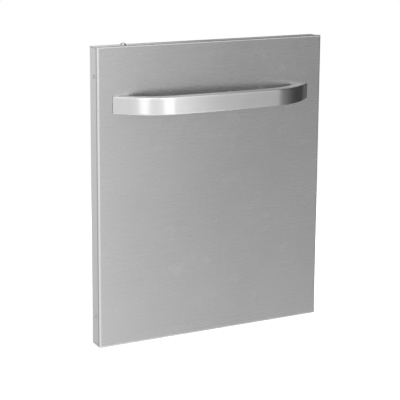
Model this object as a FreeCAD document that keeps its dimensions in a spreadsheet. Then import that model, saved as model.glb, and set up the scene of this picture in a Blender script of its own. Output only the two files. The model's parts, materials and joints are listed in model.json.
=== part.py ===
import FreeCAD, Part
import os
import Sketcher

# Stainless access door for an outdoor island: a shallow front skin over a rear pan, a bowed
# tube pull near the top, a ball catch in the top wall and a full-height continuous hinge.
# Millimetres. X runs along the door, -Y is the side a user faces, +Z is up. The origin is the
# middle of the hinge's screw line, on the face of the leaf that is fastened to the island.

doc = FreeCAD.newDocument("AccessDoor")

# Edges this close to a place lie at it.
NEAR = 1e-4

SIZES = [
    ("DoorWidth", 512, "door leaf, left edge to right edge"),
    ("DoorHeight", 610, "door leaf, bottom to top"),
    ("DoorDepth", 41, "front face to back face"),
    ("SkinThick", 1.2, "sheet of the front skin"),
    ("SkinBend", 3, "outer radius of the skin's folds"),
    ("SkinReturn", 8, "depth of the skin's folded edge"),
    ("PanThick", 1, "sheet of the rear pan"),
    ("PanBend", 2.5, "outer radius of the pan's folds"),
    ("PanGap", 0.1, "space between the pan's walls and the skin's folded edge"),
    ("SeamGap", 0.6, "open seam at each corner of the pan"),
    ("ChannelThick", 1.2, "sheet of the inner channels"),
    ("ChannelFlange", 16, "width of a channel's flanges"),
    ("ChannelBend", 2.5, "outer radius of a channel's folds"),
    ("ChannelSlack", 0.5, "space from a side channel's end to the pan's inner fold"),
    ("BarHeight", 35, "height of the pull's tube"),
    ("BarDepth", 24, "depth of the pull's tube, face to back"),
    ("BarWall", 2, "wall of the pull's tube"),
    ("BarEdge", 3, "rounding along the tube's edges"),
    ("BarStandoff", 64, "door face to the pull's outer face"),
    ("BarMargin", 31, "door edge to the pull's foot"),
    ("BarDrop", 115.5, "door top to the pull's middle"),
    ("BarBow", 1900, "outer radius of the pull's long middle bow"),
    ("BarBend", 137, "outer radius of the bends at the pull's ends"),
    ("LegAngle", 44, "slope of the pull's legs from the door, degrees"),
    ("BlockDepth", 10, "block in a foot, from the door's face"),
    ("BlockGap", 0.1, "space between a block and the tube's wall"),
    ("StudRadius", 2.5, "stud in a foot"),
    ("StudSpan", 18, "distance between the two studs of a foot"),
    ("StudHole", 2.75, "radius of the holes for the studs"),
    ("StudTail", 1.5, "thread left over past a nut"),
    ("PlateWidth", 40, "backing plate, along the door"),
    ("PlateHeight", 60, "backing plate, upright"),
    ("PlateThick", 2, "backing plate"),
    ("WasherRadius", 5, "washer under a stud's nut"),
    ("WasherThick", 1, "washer under a stud's nut"),
    ("NutFlats", 8, "across the flats of a stud's nut"),
    ("NutHeight", 4, "stud's nut"),
    ("SideInset", 60, "door end to a side screw"),
    ("SideShank", 2, "radius of a side screw's thread"),
    ("SideHead", 3.8, "radius of a side screw's head"),
    ("SideHeadHeight", 2.2, "side screw's domed head"),
    ("SideHole", 2.15, "radius of the holes for the side screws"),
    ("SideTail", 2, "thread left over past a side screw's nut"),
    ("SideNutFlats", 7, "across the flats of a side screw's nut"),
    ("SideNutHeight", 3.2, "side screw's nut"),
    ("LeafThick", 1.45, "sheet of the hinge leaves"),
    ("LeafWidth", 30, "pin axis to the free edge of a leaf"),
    ("LeafCorner", 3, "rounding of a leaf's free corners"),
    ("PinRadius", 1.5, "hinge pin"),
    ("PinClearance", 0.05, "running clearance round the pin"),
    ("PinInset", 1.5, "door's right edge to the pin axis"),
    ("PinHead", 2.4, "radius of the pin's upset ends"),
    ("PinHeadHeight", 0.9, "upset end of the pin"),
    ("PinHeadBevel", 0.45, "bevel round the upset end"),
    ("HingeMargin", 5, "door end to the hinge's end"),
    ("KnuckleCount", 25, "knuckles of both leaves together, an odd number"),
    ("KnuckleGap", 0.4, "space between neighbouring knuckles"),
    ("NotchGap", 0.5, "leaf edge to the other leaf's knuckle"),
    ("CurlEnd", 195, "where a knuckle's curl ends, degrees from the far side"),
    ("HoleLine", 18, "pin axis to the screw holes of the fixed leaf"),
    ("HoleRadius", 2.3, "screw holes of the fixed leaf"),
    ("HoleEnd", 75, "hinge's end to the nearest screw hole"),
    ("HoleCount", 6, "screw holes of the fixed leaf"),
    ("RivetLine", 12, "pin axis to the rivets of the moving leaf"),
    ("RivetRadius", 2, "rivet body"),
    ("RivetHead", 3.8, "rivet's outer head"),
    ("RivetHeadHeight", 1.2, "rivet's outer head"),
    ("RivetTail", 2.9, "radius of the set end of a rivet"),
    ("RivetTailHeight", 2.6, "set end of a rivet"),
    ("RivetTailBelly", 1.3, "straight side of the set end"),
    ("CatchInset", 64, "door's left edge to the catch"),
    ("BallRadius", 4, "catch ball"),
    ("BallSlide", 0.06, "clearance of the ball in its bore"),
    ("BallSlack", 0.04, "space left between the ball and the rim at rest"),
    ("BarrelRadius", 5, "catch barrel"),
    ("BarrelReach", 20, "barrel below the pan's top wall"),
    ("BarrelHole", 5.1, "radius of the holes for the barrel"),
    ("CollarRadius", 6, "collar of the barrel"),
    ("CollarHeight", 3.8, "collar of the barrel"),
    ("CollarChamfer", 0.5, "edge of the collar"),
    ("RimRadius", 3.6, "mouth that keeps the ball in"),
    ("RimThick", 0.3, "mouth that keeps the ball in"),
    ("SpringInner", 2.3, "inner radius of the catch spring"),
    ("SpringOuter", 3.3, "outer radius of the catch spring"),
    ("AdjusterDepth", 14, "pan's top wall to the adjuster"),
    ("AdjusterHeight", 4, "set screw under the spring"),
    ("AdjusterSlot", 1.2, "width of its driver slot"),
    ("AdjusterSlotDepth", 1.4, "depth of its driver slot"),
    ("CatchNutFlats", 15, "across the flats of the barrel's nut"),
    ("CatchNutHeight", 4, "barrel's nut"),
    ("BumperInset", 40, "door's left edge to a bumper"),
    ("BumperDrop", 70, "door end to a bumper"),
    ("BumperRadius", 8, "rubber bumper's foot"),
    ("BumperTip", 5, "radius where the bumper meets the island"),
    ("BumperSide", 2, "straight side of the bumper's foot"),
    ("BumperNeck", 3, "neck in the pan's hole"),
    ("BumperBarb", 4.2, "barb behind the pan's back"),
    ("BumperBarbTip", 1.5, "radius at the barb's end"),
    ("BumperBarbSide", 1.2, "straight side of the barb"),
    ("BumperBarbDepth", 3.5, "length of the barb"),
    ("BumperHole", 3.1, "radius of the hole for a bumper"),
]

# Places that follow from the sizes.
PLACES = [
    ("KnuckleOuter", "=Sizes.PinRadius + Sizes.PinClearance + Sizes.LeafThick"),
    ("KnuckleInner", "=Sizes.PinRadius + Sizes.PinClearance"),
    ("CloseGap", "=2 * KnuckleOuter"),
    ("HingeLength", "=Sizes.DoorHeight - 2 * Sizes.HingeMargin"),
    ("KnucklePitch", "=HingeLength / Sizes.KnuckleCount"),
    ("PinX", "=Sizes.HoleLine"),
    ("PinY", "=-KnuckleOuter"),
    ("DoorX", "=PinX - Sizes.PinInset - Sizes.DoorWidth / 2"),
    ("DoorY", "=-CloseGap - Sizes.DoorDepth"),
    ("PanStart", "=Sizes.SkinBend + Sizes.PanGap"),
    ("PanHalfWidth", "=Sizes.DoorWidth / 2 - Sizes.SkinThick - Sizes.PanGap"),
    ("PanHalfHeight", "=Sizes.DoorHeight / 2 - Sizes.SkinThick - Sizes.PanGap"),
    ("RoomHalfWidth", "=PanHalfWidth - Sizes.PanThick"),
    ("RoomHalfHeight", "=PanHalfHeight - Sizes.PanThick"),
    ("RoomBack", "=Sizes.DoorDepth - Sizes.PanThick"),
    ("SideChannelLength", "=2 * (RoomHalfHeight - Sizes.PanBend + Sizes.PanThick - Sizes.ChannelSlack)"),
    ("RailHalfLength", "=RoomHalfWidth - Sizes.ChannelFlange"),
    ("BarHalfLength", "=Sizes.DoorWidth / 2 - Sizes.BarMargin"),
    ("BarZ", "=Sizes.DoorHeight / 2 - Sizes.BarDrop"),
    ("LegTurn", "=Sizes.LegAngle * 1deg"),
    ("BowLessBend", "=Sizes.BarBow - Sizes.BarBend"),
    ("BowTurn", "=LegTurn - acos((BarHalfLength * sin(LegTurn)"
                " + (Sizes.BarBow - Sizes.BarStandoff) * cos(LegTurn) - Sizes.BarBend) / BowLessBend)"),
    ("BendX", "=BowLessBend * sin(BowTurn)"),
    ("BendY", "=Sizes.BarBow - Sizes.BarStandoff - BowLessBend * cos(BowTurn)"),
    ("FootWidth", "=Sizes.BarDepth / sin(LegTurn)"),
    ("BlockLean", "=Sizes.BlockDepth / tan(LegTurn)"),
    ("StudHalfReach", "=BarHalfLength - FootWidth / 2 - BlockLean / 2"),
    ("WasherStart", "=Sizes.SkinThick + Sizes.PlateThick"),
    ("NutStart", "=WasherStart + Sizes.WasherThick"),
    ("StudEnd", "=NutStart + Sizes.NutHeight + Sizes.StudTail"),
    ("SideSpan", "=Sizes.DoorHeight - 2 * Sizes.SideInset"),
    ("SideNutStart", "=RoomHalfWidth - Sizes.ChannelThick"),
    ("SideScrewEnd", "=SideNutStart - Sizes.SideNutHeight - Sizes.SideTail"),
    ("MidDepth", "=Sizes.DoorDepth / 2"),
    ("HoleSpan", "=HingeLength - 2 * Sizes.HoleEnd"),
    ("HolePitch", "=HoleSpan / (Sizes.HoleCount - 1)"),
    ("RivetCount", "=Sizes.HoleCount + 1"),
    ("RivetSpan", "=HolePitch * Sizes.HoleCount"),
    ("RivetX", "=Sizes.DoorWidth / 2 + Sizes.PinInset - Sizes.RivetLine"),
    ("RivetCrown", "=(Sizes.RivetHead ^ 2 + Sizes.RivetHeadHeight ^ 2) / (2 * Sizes.RivetHeadHeight)"),
    ("RivetCrownAngle", "=asin(Sizes.RivetHead / RivetCrown)"),
    ("CatchX", "=Sizes.CatchInset - Sizes.DoorWidth / 2"),
    ("BallZ", "=Sizes.CollarHeight - Sizes.RimThick - Sizes.BallSlack"
              " - sqrt(Sizes.BallRadius ^ 2 - Sizes.RimRadius ^ 2)"),
    ("BoreRadius", "=Sizes.BallRadius + Sizes.BallSlide"),
    ("SpringTop", "=BallZ - Sizes.BallSlack - sqrt(Sizes.BallRadius ^ 2 - Sizes.SpringInner ^ 2)"),
    ("CatchNutTop", "=-Sizes.PanThick - Sizes.ChannelThick"),
    ("BumperX", "=Sizes.BumperInset - Sizes.DoorWidth / 2"),
    ("BumperZ", "=Sizes.DoorHeight / 2 - Sizes.BumperDrop"),
]


def new_sheet(name, rows):
    """Sheet with one aliased cell for each row, and its meaning beside it."""
    sheet = doc.addObject("Spreadsheet::Sheet", name)
    for number, (alias, content, *meaning) in enumerate(rows, start=1):
        sheet.set(f"A{number}", alias)
        sheet.set(f"B{number}", str(content))
        sheet.setAlias(f"B{number}", alias)
        sheet.set(f"C{number}", " ".join(meaning))
    return sheet


sizes = new_sheet("Sizes", SIZES)
places = new_sheet("Places", PLACES)
doc.recompute()


def value(expression):
    """Present number of an expression on the sheets."""
    return float(sizes.evalExpression(expression))


def new_body(name, x="0", y="0", z="0"):
    """Sub-part with its own origin at the given place."""
    body = doc.addObject("PartDesign::Body", name)
    body.Label = name
    for axis, expression in zip("xyz", (x, y, z)):
        body.setExpression(f".Placement.Base.{axis}", expression)
    return body


def door_body(name):
    """Sub-part measured from the middle of the door's front face."""
    return new_body(name, "Places.DoorX", "Places.DoorY")


def hinge_body(name):
    """Sub-part measured from the pin axis, at the hinge's lower end."""
    return new_body(name, "Places.PinX", "Places.PinY", "-Places.HingeLength / 2")


def catch_body(name):
    """Sub-part measured from the catch's axis, on the pan's top wall."""
    return new_body(name, "Places.DoorX + Places.CatchX", "Places.DoorY + Places.MidDepth",
                    "Places.PanHalfHeight")


def origin_feature(body, role):
    """Origin plane or axis of a body."""
    return next(item for item in body.Origin.OriginFeatures if item.Role == role)


def new_sketch(body, name, plane, offset="0"):
    """Sketch on one of the body's origin planes, moved along the plane's normal."""
    sketch = body.newObject("Sketcher::SketchObject", name)
    sketch.AttachmentSupport = [(origin_feature(body, plane), "")]
    sketch.MapMode = "FlatFace"
    sketch.setExpression(".AttachmentOffset.Base.z", offset)
    return sketch


def bind(sketch, kind, elements, expression):
    """Dimension that follows an expression on the sheets."""
    index = sketch.addConstraint(Sketcher.Constraint(kind, *elements, value(expression)))
    sketch.renameConstraint(index, f"size_{index}")
    sketch.setExpression(f"Constraints.size_{index}", expression)


def place_point(sketch, geometry, position, x, y):
    """Coordinates of a point of a sketch, from the sketch's origin."""
    bind(sketch, "DistanceX", (-1, 1, geometry, position), x)
    bind(sketch, "DistanceY", (-1, 1, geometry, position), y)


def circle(sketch, x, y, radius):
    """Circle by its centre and radius."""
    centre = FreeCAD.Vector(value(x), value(y), 0)
    shape = Part.Circle(centre, FreeCAD.Vector(0, 0, 1), value(radius))
    index = sketch.addGeometry(shape, False)
    place_point(sketch, index, 3, x, y)
    bind(sketch, "Radius", (index,), radius)


def outline(sketch, corners):
    """Closed outline. A corner is (x, y), or (x, y, radius, middle x, middle y) where the
    stretch to the next corner is an arc through that middle point."""
    points = [FreeCAD.Vector(value(corner[0]), value(corner[1]), 0) for corner in corners]
    edges = []
    for number, corner in enumerate(corners):
        start = points[number]
        end = points[(number + 1) % len(points)]
        if len(corner) == 2:
            curve = Part.LineSegment(start, end)
        else:
            curve = Part.Arc(start, FreeCAD.Vector(value(corner[3]), value(corner[4]), 0), end)
        index = sketch.addGeometry(curve, False)
        first = sketch.getPoint(index, 1)
        second = sketch.getPoint(index, 2)
        forwards = (first - start).Length < (second - start).Length
        edges.append((index, 1, 2) if forwards else (index, 2, 1))
    for number, corner in enumerate(corners):
        index, start, _ = edges[number]
        before, _, end = edges[number - 1]
        sketch.addConstraint(Sketcher.Constraint("Coincident", before, end, index, start))
        place_point(sketch, index, start, corner[0], corner[1])
        if len(corner) > 2:
            bind(sketch, "Radius", (index,), corner[2])


def rectangle(sketch, left, right, bottom, top):
    """Upright rectangle by its four sides."""
    outline(sketch, [(left, bottom), (right, bottom), (right, top), (left, top)])


def hexagon(sketch, x, y, flats):
    """Hexagon by its middle and its size across the flats."""
    half = f"{flats} / 2"
    point = f"{flats} / sqrt(3)"
    outline(sketch, [(f"{x} + {point}", y), (f"{x} + {point} / 2", f"{y} + {half}"),
                     (f"{x} - {point} / 2", f"{y} + {half}"), (f"{x} - {point}", y),
                     (f"{x} - {point} / 2", f"{y} - {half}"),
                     (f"{x} + {point} / 2", f"{y} - {half}")])


def pad(body, sketch, length, reverse=False):
    """Solid of a sketch, along or against its normal."""
    feature = body.newObject("PartDesign::Pad", sketch.Name + "Pad")
    feature.Profile = sketch
    feature.setExpression("Length", length)
    feature.Reversed = reverse
    doc.recompute()
    return feature


def pocket(body, sketch, length, reverse=False):
    """Cut of a sketch, against its normal, or along it when reversed."""
    before = body.Shape.Volume
    feature = body.newObject("PartDesign::Pocket", sketch.Name + "Cut")
    feature.Profile = sketch
    feature.setExpression("Length", length)
    feature.Reversed = reverse
    doc.recompute()
    if body.Shape.Volume >= before:
        raise RuntimeError(f"{body.Label}: {sketch.Name} cuts nothing")
    return feature


def revolve(body, sketch, axis):
    """Full turn of a sketch about one of the body's axes."""
    feature = body.newObject("PartDesign::Revolution", sketch.Name + "Turn")
    feature.Profile = sketch
    feature.ReferenceAxis = (origin_feature(body, axis), [""])
    feature.Angle = 360
    doc.recompute()
    return feature


def repeat(body, feature, axis, length, count):
    """Copies of a feature, spread evenly over a length."""
    pattern = body.newObject("PartDesign::LinearPattern", feature.Name + "Row")
    pattern.Originals = [feature]
    pattern.Direction = (origin_feature(body, axis), [""])
    pattern.setExpression("Length", length)
    pattern.setExpression("Occurrences", count)
    body.Tip = pattern
    doc.recompute()
    return pattern


def fillet(body, feature, name, radius, wanted):
    """Rounding of the edges that a test picks."""
    names = [f"Edge{number}" for number, edge in enumerate(feature.Shape.Edges, start=1)
             if wanted(edge)]
    if not names:
        raise RuntimeError(f"{body.Label}: no edge to round for {name}")
    rounding = body.newObject("PartDesign::Fillet", name)
    rounding.Base = (feature, names)
    rounding.setExpression("Radius", radius)
    doc.recompute()
    return rounding


def lies_at(edge, axis, place):
    """Whether a whole edge lies at one place along an axis."""
    box = edge.BoundBox
    low = getattr(box, axis + "Min")
    high = getattr(box, axis + "Max")
    return abs(low - place) < NEAR and abs(high - place) < NEAR


def within(edge, half_width, half_height):
    """Whether an edge stays inside a rectangle about the body's origin, seen from the front."""
    box = edge.BoundBox
    return max(-box.XMin, box.XMax) < half_width and max(-box.ZMin, box.ZMax) < half_height


def folded_tray(body, tag, start, half_width, half_height, end, thick, bend, open_back):
    """Sheet tray with folded walls: a face at one end of its depth and open at the other."""
    block_sketch = new_sketch(body, tag + "Block", "XZ_Plane", f"-({start})")
    rectangle(block_sketch, f"-({half_width})", half_width, f"-({half_height})", half_height)
    block = pad(body, block_sketch, f"{end} - ({start})", reverse=True)
    face_place = value(start) if open_back else value(end)
    folded = fillet(body, block, tag + "Fold", bend, lambda edge: lies_at(edge, "Y", face_place))
    mouth = end if open_back else start
    room_sketch = new_sketch(body, tag + "Room", "XZ_Plane", f"-({mouth})")
    rectangle(room_sketch, f"-({half_width} - {thick})", f"{half_width} - {thick}",
              f"-({half_height} - {thick})", f"{half_height} - {thick}")
    room = pocket(body, room_sketch, f"{end} - ({start}) - {thick}", reverse=open_back)
    floor = value(f"{start} + {thick}") if open_back else value(f"{end} - {thick}")
    inner_width = value(half_width) - value(thick) / 2
    inner_height = value(half_height) - value(thick) / 2
    return fillet(body, room, tag + "InnerFold", f"{bend} - {thick}",
                  lambda edge: lies_at(edge, "Y", floor) and within(edge, inner_width, inner_height))


def round_holes(body, tag, plane, offset, centres, radius, depth, reverse=False):
    """Round holes through a wall, all of one size."""
    sketch = new_sketch(body, tag, plane, offset)
    for x, y in centres:
        circle(sketch, x, y, radius)
    return pocket(body, sketch, depth, reverse)


def stud_centres():
    """Places of the four studs, seen from the front."""
    return [(f"{side} * Places.StudHalfReach", f"Places.BarZ {step} Sizes.StudSpan / 2")
            for side in ("-1", "1") for step in ("-", "+")]


def rivet_centres():
    """Places of the hinge rivets, seen from the front."""
    count = round(value("Places.RivetCount"))
    return [("Places.RivetX", f"{number} * Places.HolePitch - Places.RivetSpan / 2")
            for number in range(count)]


def side_centres():
    """Heights of the side screws, with their depth in the wall."""
    return [("Places.MidDepth", "-Places.SideSpan / 2"), ("Places.MidDepth", "Places.SideSpan / 2")]


def bumper_centres():
    """Places of the two bumpers, seen from the front."""
    return [("Places.BumperX", "-Places.BumperZ"), ("Places.BumperX", "Places.BumperZ")]


def make_front_skin():
    """Visible face: a flat sheet folded back a little on all four sides."""
    body = door_body("front_skin")
    folded_tray(body, "Skin", "0", "Sizes.DoorWidth / 2", "Sizes.DoorHeight / 2",
                "Sizes.SkinReturn", "Sizes.SkinThick", "Sizes.SkinBend", open_back=True)
    round_holes(body, "SkinStudHoles", "XZ_Plane", "0", stud_centres(), "Sizes.StudHole",
                "Sizes.SkinThick")


def make_rear_pan():
    """Back and side walls in one folded sheet, open at its corner seams."""
    body = door_body("rear_pan")
    folded_tray(body, "Pan", "Places.PanStart", "Places.PanHalfWidth", "Places.PanHalfHeight",
                "Sizes.DoorDepth", "Sizes.PanThick", "Sizes.PanBend", open_back=False)
    seams = new_sketch(body, "PanSeams", "XZ_Plane", "-Places.PanStart")
    for side in ("-1", "1"):
        for end in ("-1", "1"):
            near = sorted((f"{side} * Places.RoomHalfWidth", f"{side} * Places.PanHalfWidth"),
                          key=value)
            level = sorted((f"{end} * Places.RoomHalfHeight",
                            f"{end} * (Places.RoomHalfHeight - Sizes.SeamGap)"), key=value)
            rectangle(seams, *near, *level)
    pocket(body, seams, "Sizes.DoorDepth - Sizes.PanBend - Places.PanStart")
    round_holes(body, "PanRivetHoles", "XZ_Plane", "-Places.RoomBack", rivet_centres(),
                "Sizes.RivetRadius", "Sizes.PanThick")
    round_holes(body, "PanBumperHoles", "XZ_Plane", "-Places.RoomBack", bumper_centres(),
                "Sizes.BumperHole", "Sizes.PanThick")
    round_holes(body, "PanCatchHole", "XY_Plane", "Places.PanHalfHeight",
                [("Places.CatchX", "Places.MidDepth")], "Sizes.BarrelHole", "Sizes.PanThick")
    round_holes(body, "PanLatchHoles", "YZ_Plane", "-Places.RoomHalfWidth", side_centres(),
                "Sizes.SideHole", "Sizes.PanThick")
    round_holes(body, "PanHingeHoles", "YZ_Plane", "Places.PanHalfWidth", side_centres(),
                "Sizes.SideHole", "Sizes.PanThick")


def channel_corners(web, toward, tip):
    """Outline of a folded channel: web, two flanges and rounded folds. The first coordinate
    runs from web to flange tips, the second from the front skin to the pan's back."""
    front = "Sizes.SkinThick"
    back = "Places.RoomBack"
    bend = "Sizes.ChannelBend"
    thick = "Sizes.ChannelThick"
    inner = "(Sizes.ChannelBend - Sizes.ChannelThick)"
    slant = "(1 - sqrt(0.5))"
    return [
        (tip, front),
        (tip, f"{front} + {thick}"),
        (f"{web} {toward} {bend}", f"{front} + {thick}", inner,
         f"{web} {toward} ({thick} + {inner} * {slant})",
         f"{front} + {thick} + {inner} * {slant}"),
        (f"{web} {toward} {thick}", f"{front} + {bend}"),
        (f"{web} {toward} {thick}", f"{back} - {bend}", inner,
         f"{web} {toward} ({thick} + {inner} * {slant})",
         f"{back} - {thick} - {inner} * {slant}"),
        (f"{web} {toward} {bend}", f"{back} - {thick}"),
        (tip, f"{back} - {thick}"),
        (tip, back),
        (f"{web} {toward} {bend}", back, bend,
         f"{web} {toward} {bend} * {slant}", f"{back} - {bend} * {slant}"),
        (web, f"{back} - {bend}"),
        (web, f"{front} + {bend}", bend,
         f"{web} {toward} {bend} * {slant}", f"{front} + {bend} * {slant}"),
        (f"{web} {toward} {bend}", front),
    ]


def make_side_channel(name, side):
    """Upright channel inside one side wall. The side is -1 for the latch side, 1 for the hinge side."""
    body = door_body(name)
    toward = "+" if side < 0 else "-"
    web = f"{side} * Places.RoomHalfWidth"
    profile = new_sketch(body, name + "Profile", "XY_Plane", "-Places.SideChannelLength / 2")
    outline(profile, channel_corners(web, toward, f"{web} {toward} Sizes.ChannelFlange"))
    pad(body, profile, "Places.SideChannelLength")
    wall = "Places.RoomHalfWidth" if side > 0 else "-Places.RoomHalfWidth + Sizes.ChannelThick"
    round_holes(body, name + "Holes", "YZ_Plane", wall, side_centres(), "Sizes.SideHole",
                "Sizes.ChannelThick")
    if side > 0:
        round_holes(body, name + "RivetHoles", "XZ_Plane",
                    "-(Places.RoomBack - Sizes.ChannelThick)", rivet_centres(),
                    "Sizes.RivetRadius", "Sizes.ChannelThick")


def make_rail(name, end):
    """Level channel inside the top or bottom wall, between the side channels' flanges."""
    body = door_body(name)
    toward = "+" if end < 0 else "-"
    web = f"{end} * Places.RoomHalfHeight"
    profile = new_sketch(body, name + "Profile", "YZ_Plane", "-Places.RailHalfLength")
    corners = channel_corners(web, toward, f"{web} {toward} Sizes.ChannelFlange")
    outline(profile, [swap_corner(corner) for corner in corners])
    pad(body, profile, "2 * Places.RailHalfLength")
    if end > 0:
        round_holes(body, name + "CatchHole", "XY_Plane", "Places.RoomHalfHeight",
                    [("Places.CatchX", "Places.MidDepth")], "Sizes.BarrelHole",
                    "Sizes.ChannelThick")


def swap_corner(corner):
    """The same corner with its two directions exchanged."""
    if len(corner) == 2:
        return (corner[1], corner[0])
    return (corner[1], corner[0], corner[2], corner[4], corner[3])


def bar_outline(sketch, front, back, past):
    """Plan of the pull between two depths behind its outer face, with legs that end at a
    distance past the door's face."""

    def bend_point(side, depth, turn):
        """Point of an end bend at a turn from the bar's middle."""
        return (f"{side} * (Places.BendX + (Sizes.BarBend - {depth}) * sin({turn}))",
                f"Places.BendY - (Sizes.BarBend - {depth}) * cos({turn})")

    def run(side, depth):
        """Corners from a foot to the middle bow, each with the arc that follows it."""
        middle = bend_point(side, depth, "((Places.LegTurn + Places.BowTurn) / 2)")
        foot = (f"{side} * (Places.BarHalfLength - {depth} / sin(Places.LegTurn)"
                f" + {past} / tan(Places.LegTurn))", past)
        return (foot, bend_point(side, depth, "Places.LegTurn"),
                bend_point(side, depth, "Places.BowTurn"), f"Sizes.BarBend - {depth}", middle)

    corners = []
    for side, other, depth in (("-1", "1", front), ("1", "-1", back)):
        foot, leg_end, bow_end, bend, middle = run(side, depth)
        far_foot, far_leg_end, far_bow_end, _, far_middle = run(other, depth)
        bow = (f"Sizes.BarBow - {depth}", "0", f"{depth} - Sizes.BarStandoff")
        corners += [foot, (*leg_end, bend, *middle), (*bow_end, *bow),
                    (*far_bow_end, bend, *far_middle), far_leg_end, far_foot]
    outline(sketch, corners)


def make_handle_bar():
    """Rectangular tube bowed away from the door: a long gentle bow between two tighter bends,
    and legs cut flush with the door's face."""
    body = new_body("handle_bar", "Places.DoorX", "Places.DoorY", "Places.BarZ - Sizes.BarHeight / 2")
    plan = new_sketch(body, "BarPlan", "XY_Plane")
    bar_outline(plan, "0", "Sizes.BarDepth", "0")
    bar = pad(body, plan, "Sizes.BarHeight")
    top = value("Sizes.BarHeight")
    fillet(body, bar, "BarEdges", "Sizes.BarEdge",
           lambda edge: (lies_at(edge, "Z", 0) or lies_at(edge, "Z", top)) and not lies_at(edge, "Y", 0))
    bore = new_sketch(body, "BarBore", "XY_Plane", "Sizes.BarWall")
    bar_outline(bore, "Sizes.BarWall", "(Sizes.BarDepth - Sizes.BarWall)", "Sizes.BarWall")
    pocket(body, bore, "Sizes.BarHeight - 2 * Sizes.BarWall", reverse=True)


def make_handle_blocks():
    """Blocks in the tube's feet, threaded for the studs."""
    inset = "(Sizes.BarWall + Sizes.BlockGap)"
    body = new_body("handle_blocks", "Places.DoorX", "Places.DoorY",
                    f"Places.BarZ - Sizes.BarHeight / 2 + {inset}")
    plan = new_sketch(body, "BlockPlan", "XY_Plane")
    side_gap = f"{inset} / sin(Places.LegTurn)"
    outer = f"(Places.BarHalfLength - {side_gap})"
    inner = f"(Places.BarHalfLength - Places.FootWidth + {side_gap})"
    for side in ("-1", "1"):
        outline(plan, [(f"{side} * {outer}", "0"),
                       (f"{side} * ({outer} - Places.BlockLean)", "-Sizes.BlockDepth"),
                       (f"{side} * ({inner} - Places.BlockLean)", "-Sizes.BlockDepth"),
                       (f"{side} * {inner}", "0")])
    pad(body, plan, f"Sizes.BarHeight - 2 * {inset}")
    holes = new_sketch(body, "BlockHoles", "XZ_Plane")
    rise = f"(Sizes.BarHeight / 2 - {inset})"
    for side in ("-1", "1"):
        for step in ("-", "+"):
            circle(holes, f"{side} * Places.StudHalfReach", f"{rise} {step} Sizes.StudSpan / 2",
                   "Sizes.StudRadius")
    pocket(body, holes, "Sizes.BlockDepth", reverse=True)


def make_handle_studs():
    """Threaded studs from the blocks in the feet, reaching through the skin."""
    body = door_body("handle_studs")
    sketch = new_sketch(body, "Studs", "XZ_Plane", "Sizes.BlockDepth")
    for x, z in stud_centres():
        circle(sketch, x, z, "Sizes.StudRadius")
    pad(body, sketch, "Sizes.BlockDepth + Places.StudEnd", reverse=True)


def make_backing_plate(name, side):
    """Plate that spreads a foot's pull over the thin skin."""
    body = door_body(name)
    sketch = new_sketch(body, name + "Outline", "XZ_Plane", "-Sizes.SkinThick")
    middle = f"{side} * Places.StudHalfReach"
    rectangle(sketch, f"{middle} - Sizes.PlateWidth / 2", f"{middle} + Sizes.PlateWidth / 2",
              "Places.BarZ - Sizes.PlateHeight / 2", "Places.BarZ + Sizes.PlateHeight / 2")
    for x, z in stud_centres():
        if value(x) * side > 0:
            circle(sketch, x, z, "Sizes.StudHole")
    pad(body, sketch, "Sizes.PlateThick", reverse=True)


def make_handle_washers():
    """Washers under the studs' nuts."""
    body = door_body("handle_washers")
    sketch = new_sketch(body, "Washers", "XZ_Plane", "-Places.WasherStart")
    for x, z in stud_centres():
        circle(sketch, x, z, "Sizes.WasherRadius")
        circle(sketch, x, z, "Sizes.StudHole")
    pad(body, sketch, "Sizes.WasherThick", reverse=True)


def make_handle_nuts():
    """Nuts that pull the handle to the door."""
    body = door_body("handle_nuts")
    sketch = new_sketch(body, "Nuts", "XZ_Plane", "-Places.NutStart")
    for x, z in stud_centres():
        hexagon(sketch, x, z, "Sizes.NutFlats")
        circle(sketch, x, z, "Sizes.StudRadius")
    pad(body, sketch, "Sizes.NutHeight", reverse=True)


def make_side_fasteners(label, side):
    """Two dome-head screws through a side wall, and the welded nuts that they turn into."""
    screws = door_body("side_screws_" + label)
    profile = new_sketch(screws, label + "ScrewProfile", "XY_Plane")
    wall = f"{side} * Places.PanHalfWidth"
    out = "+" if side > 0 else "-"
    tail = f"{side} * Places.SideScrewEnd"
    outline(profile, [
        (tail, "0"),
        (tail, "Sizes.SideShank"),
        (wall, "Sizes.SideShank"),
        (wall, "Sizes.SideHead", "Sizes.SideHeadHeight",
         f"{wall} {out} Sizes.SideHeadHeight * sqrt(0.5)",
         "Sizes.SideHead - Sizes.SideHeadHeight * (1 - sqrt(0.5))"),
        (f"{wall} {out} Sizes.SideHeadHeight", "Sizes.SideHead - Sizes.SideHeadHeight"),
        (f"{wall} {out} Sizes.SideHeadHeight", "0"),
    ])
    turned = revolve(screws, profile, "X_Axis")
    repeat(screws, turned, "Z_Axis", "Places.SideSpan", "2")
    centre_pattern(screws, "-Places.SideSpan / 2", "Places.MidDepth")

    nuts = door_body("side_nuts_" + label)
    start = "Places.SideNutStart" if side > 0 else "-Places.SideNutStart + Sizes.SideNutHeight"
    sketch = new_sketch(nuts, label + "Nuts", "YZ_Plane", start)
    for y, z in side_centres():
        hexagon(sketch, y, z, "Sizes.SideNutFlats")
        circle(sketch, y, z, "Sizes.SideShank")
    pad(nuts, sketch, "Sizes.SideNutHeight", reverse=True)


def centre_pattern(body, z, y):
    """Move a turned and repeated piece to its first place."""
    body.setExpression(".Placement.Base.y", f"Places.DoorY + {y}")
    body.setExpression(".Placement.Base.z", z)


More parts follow.
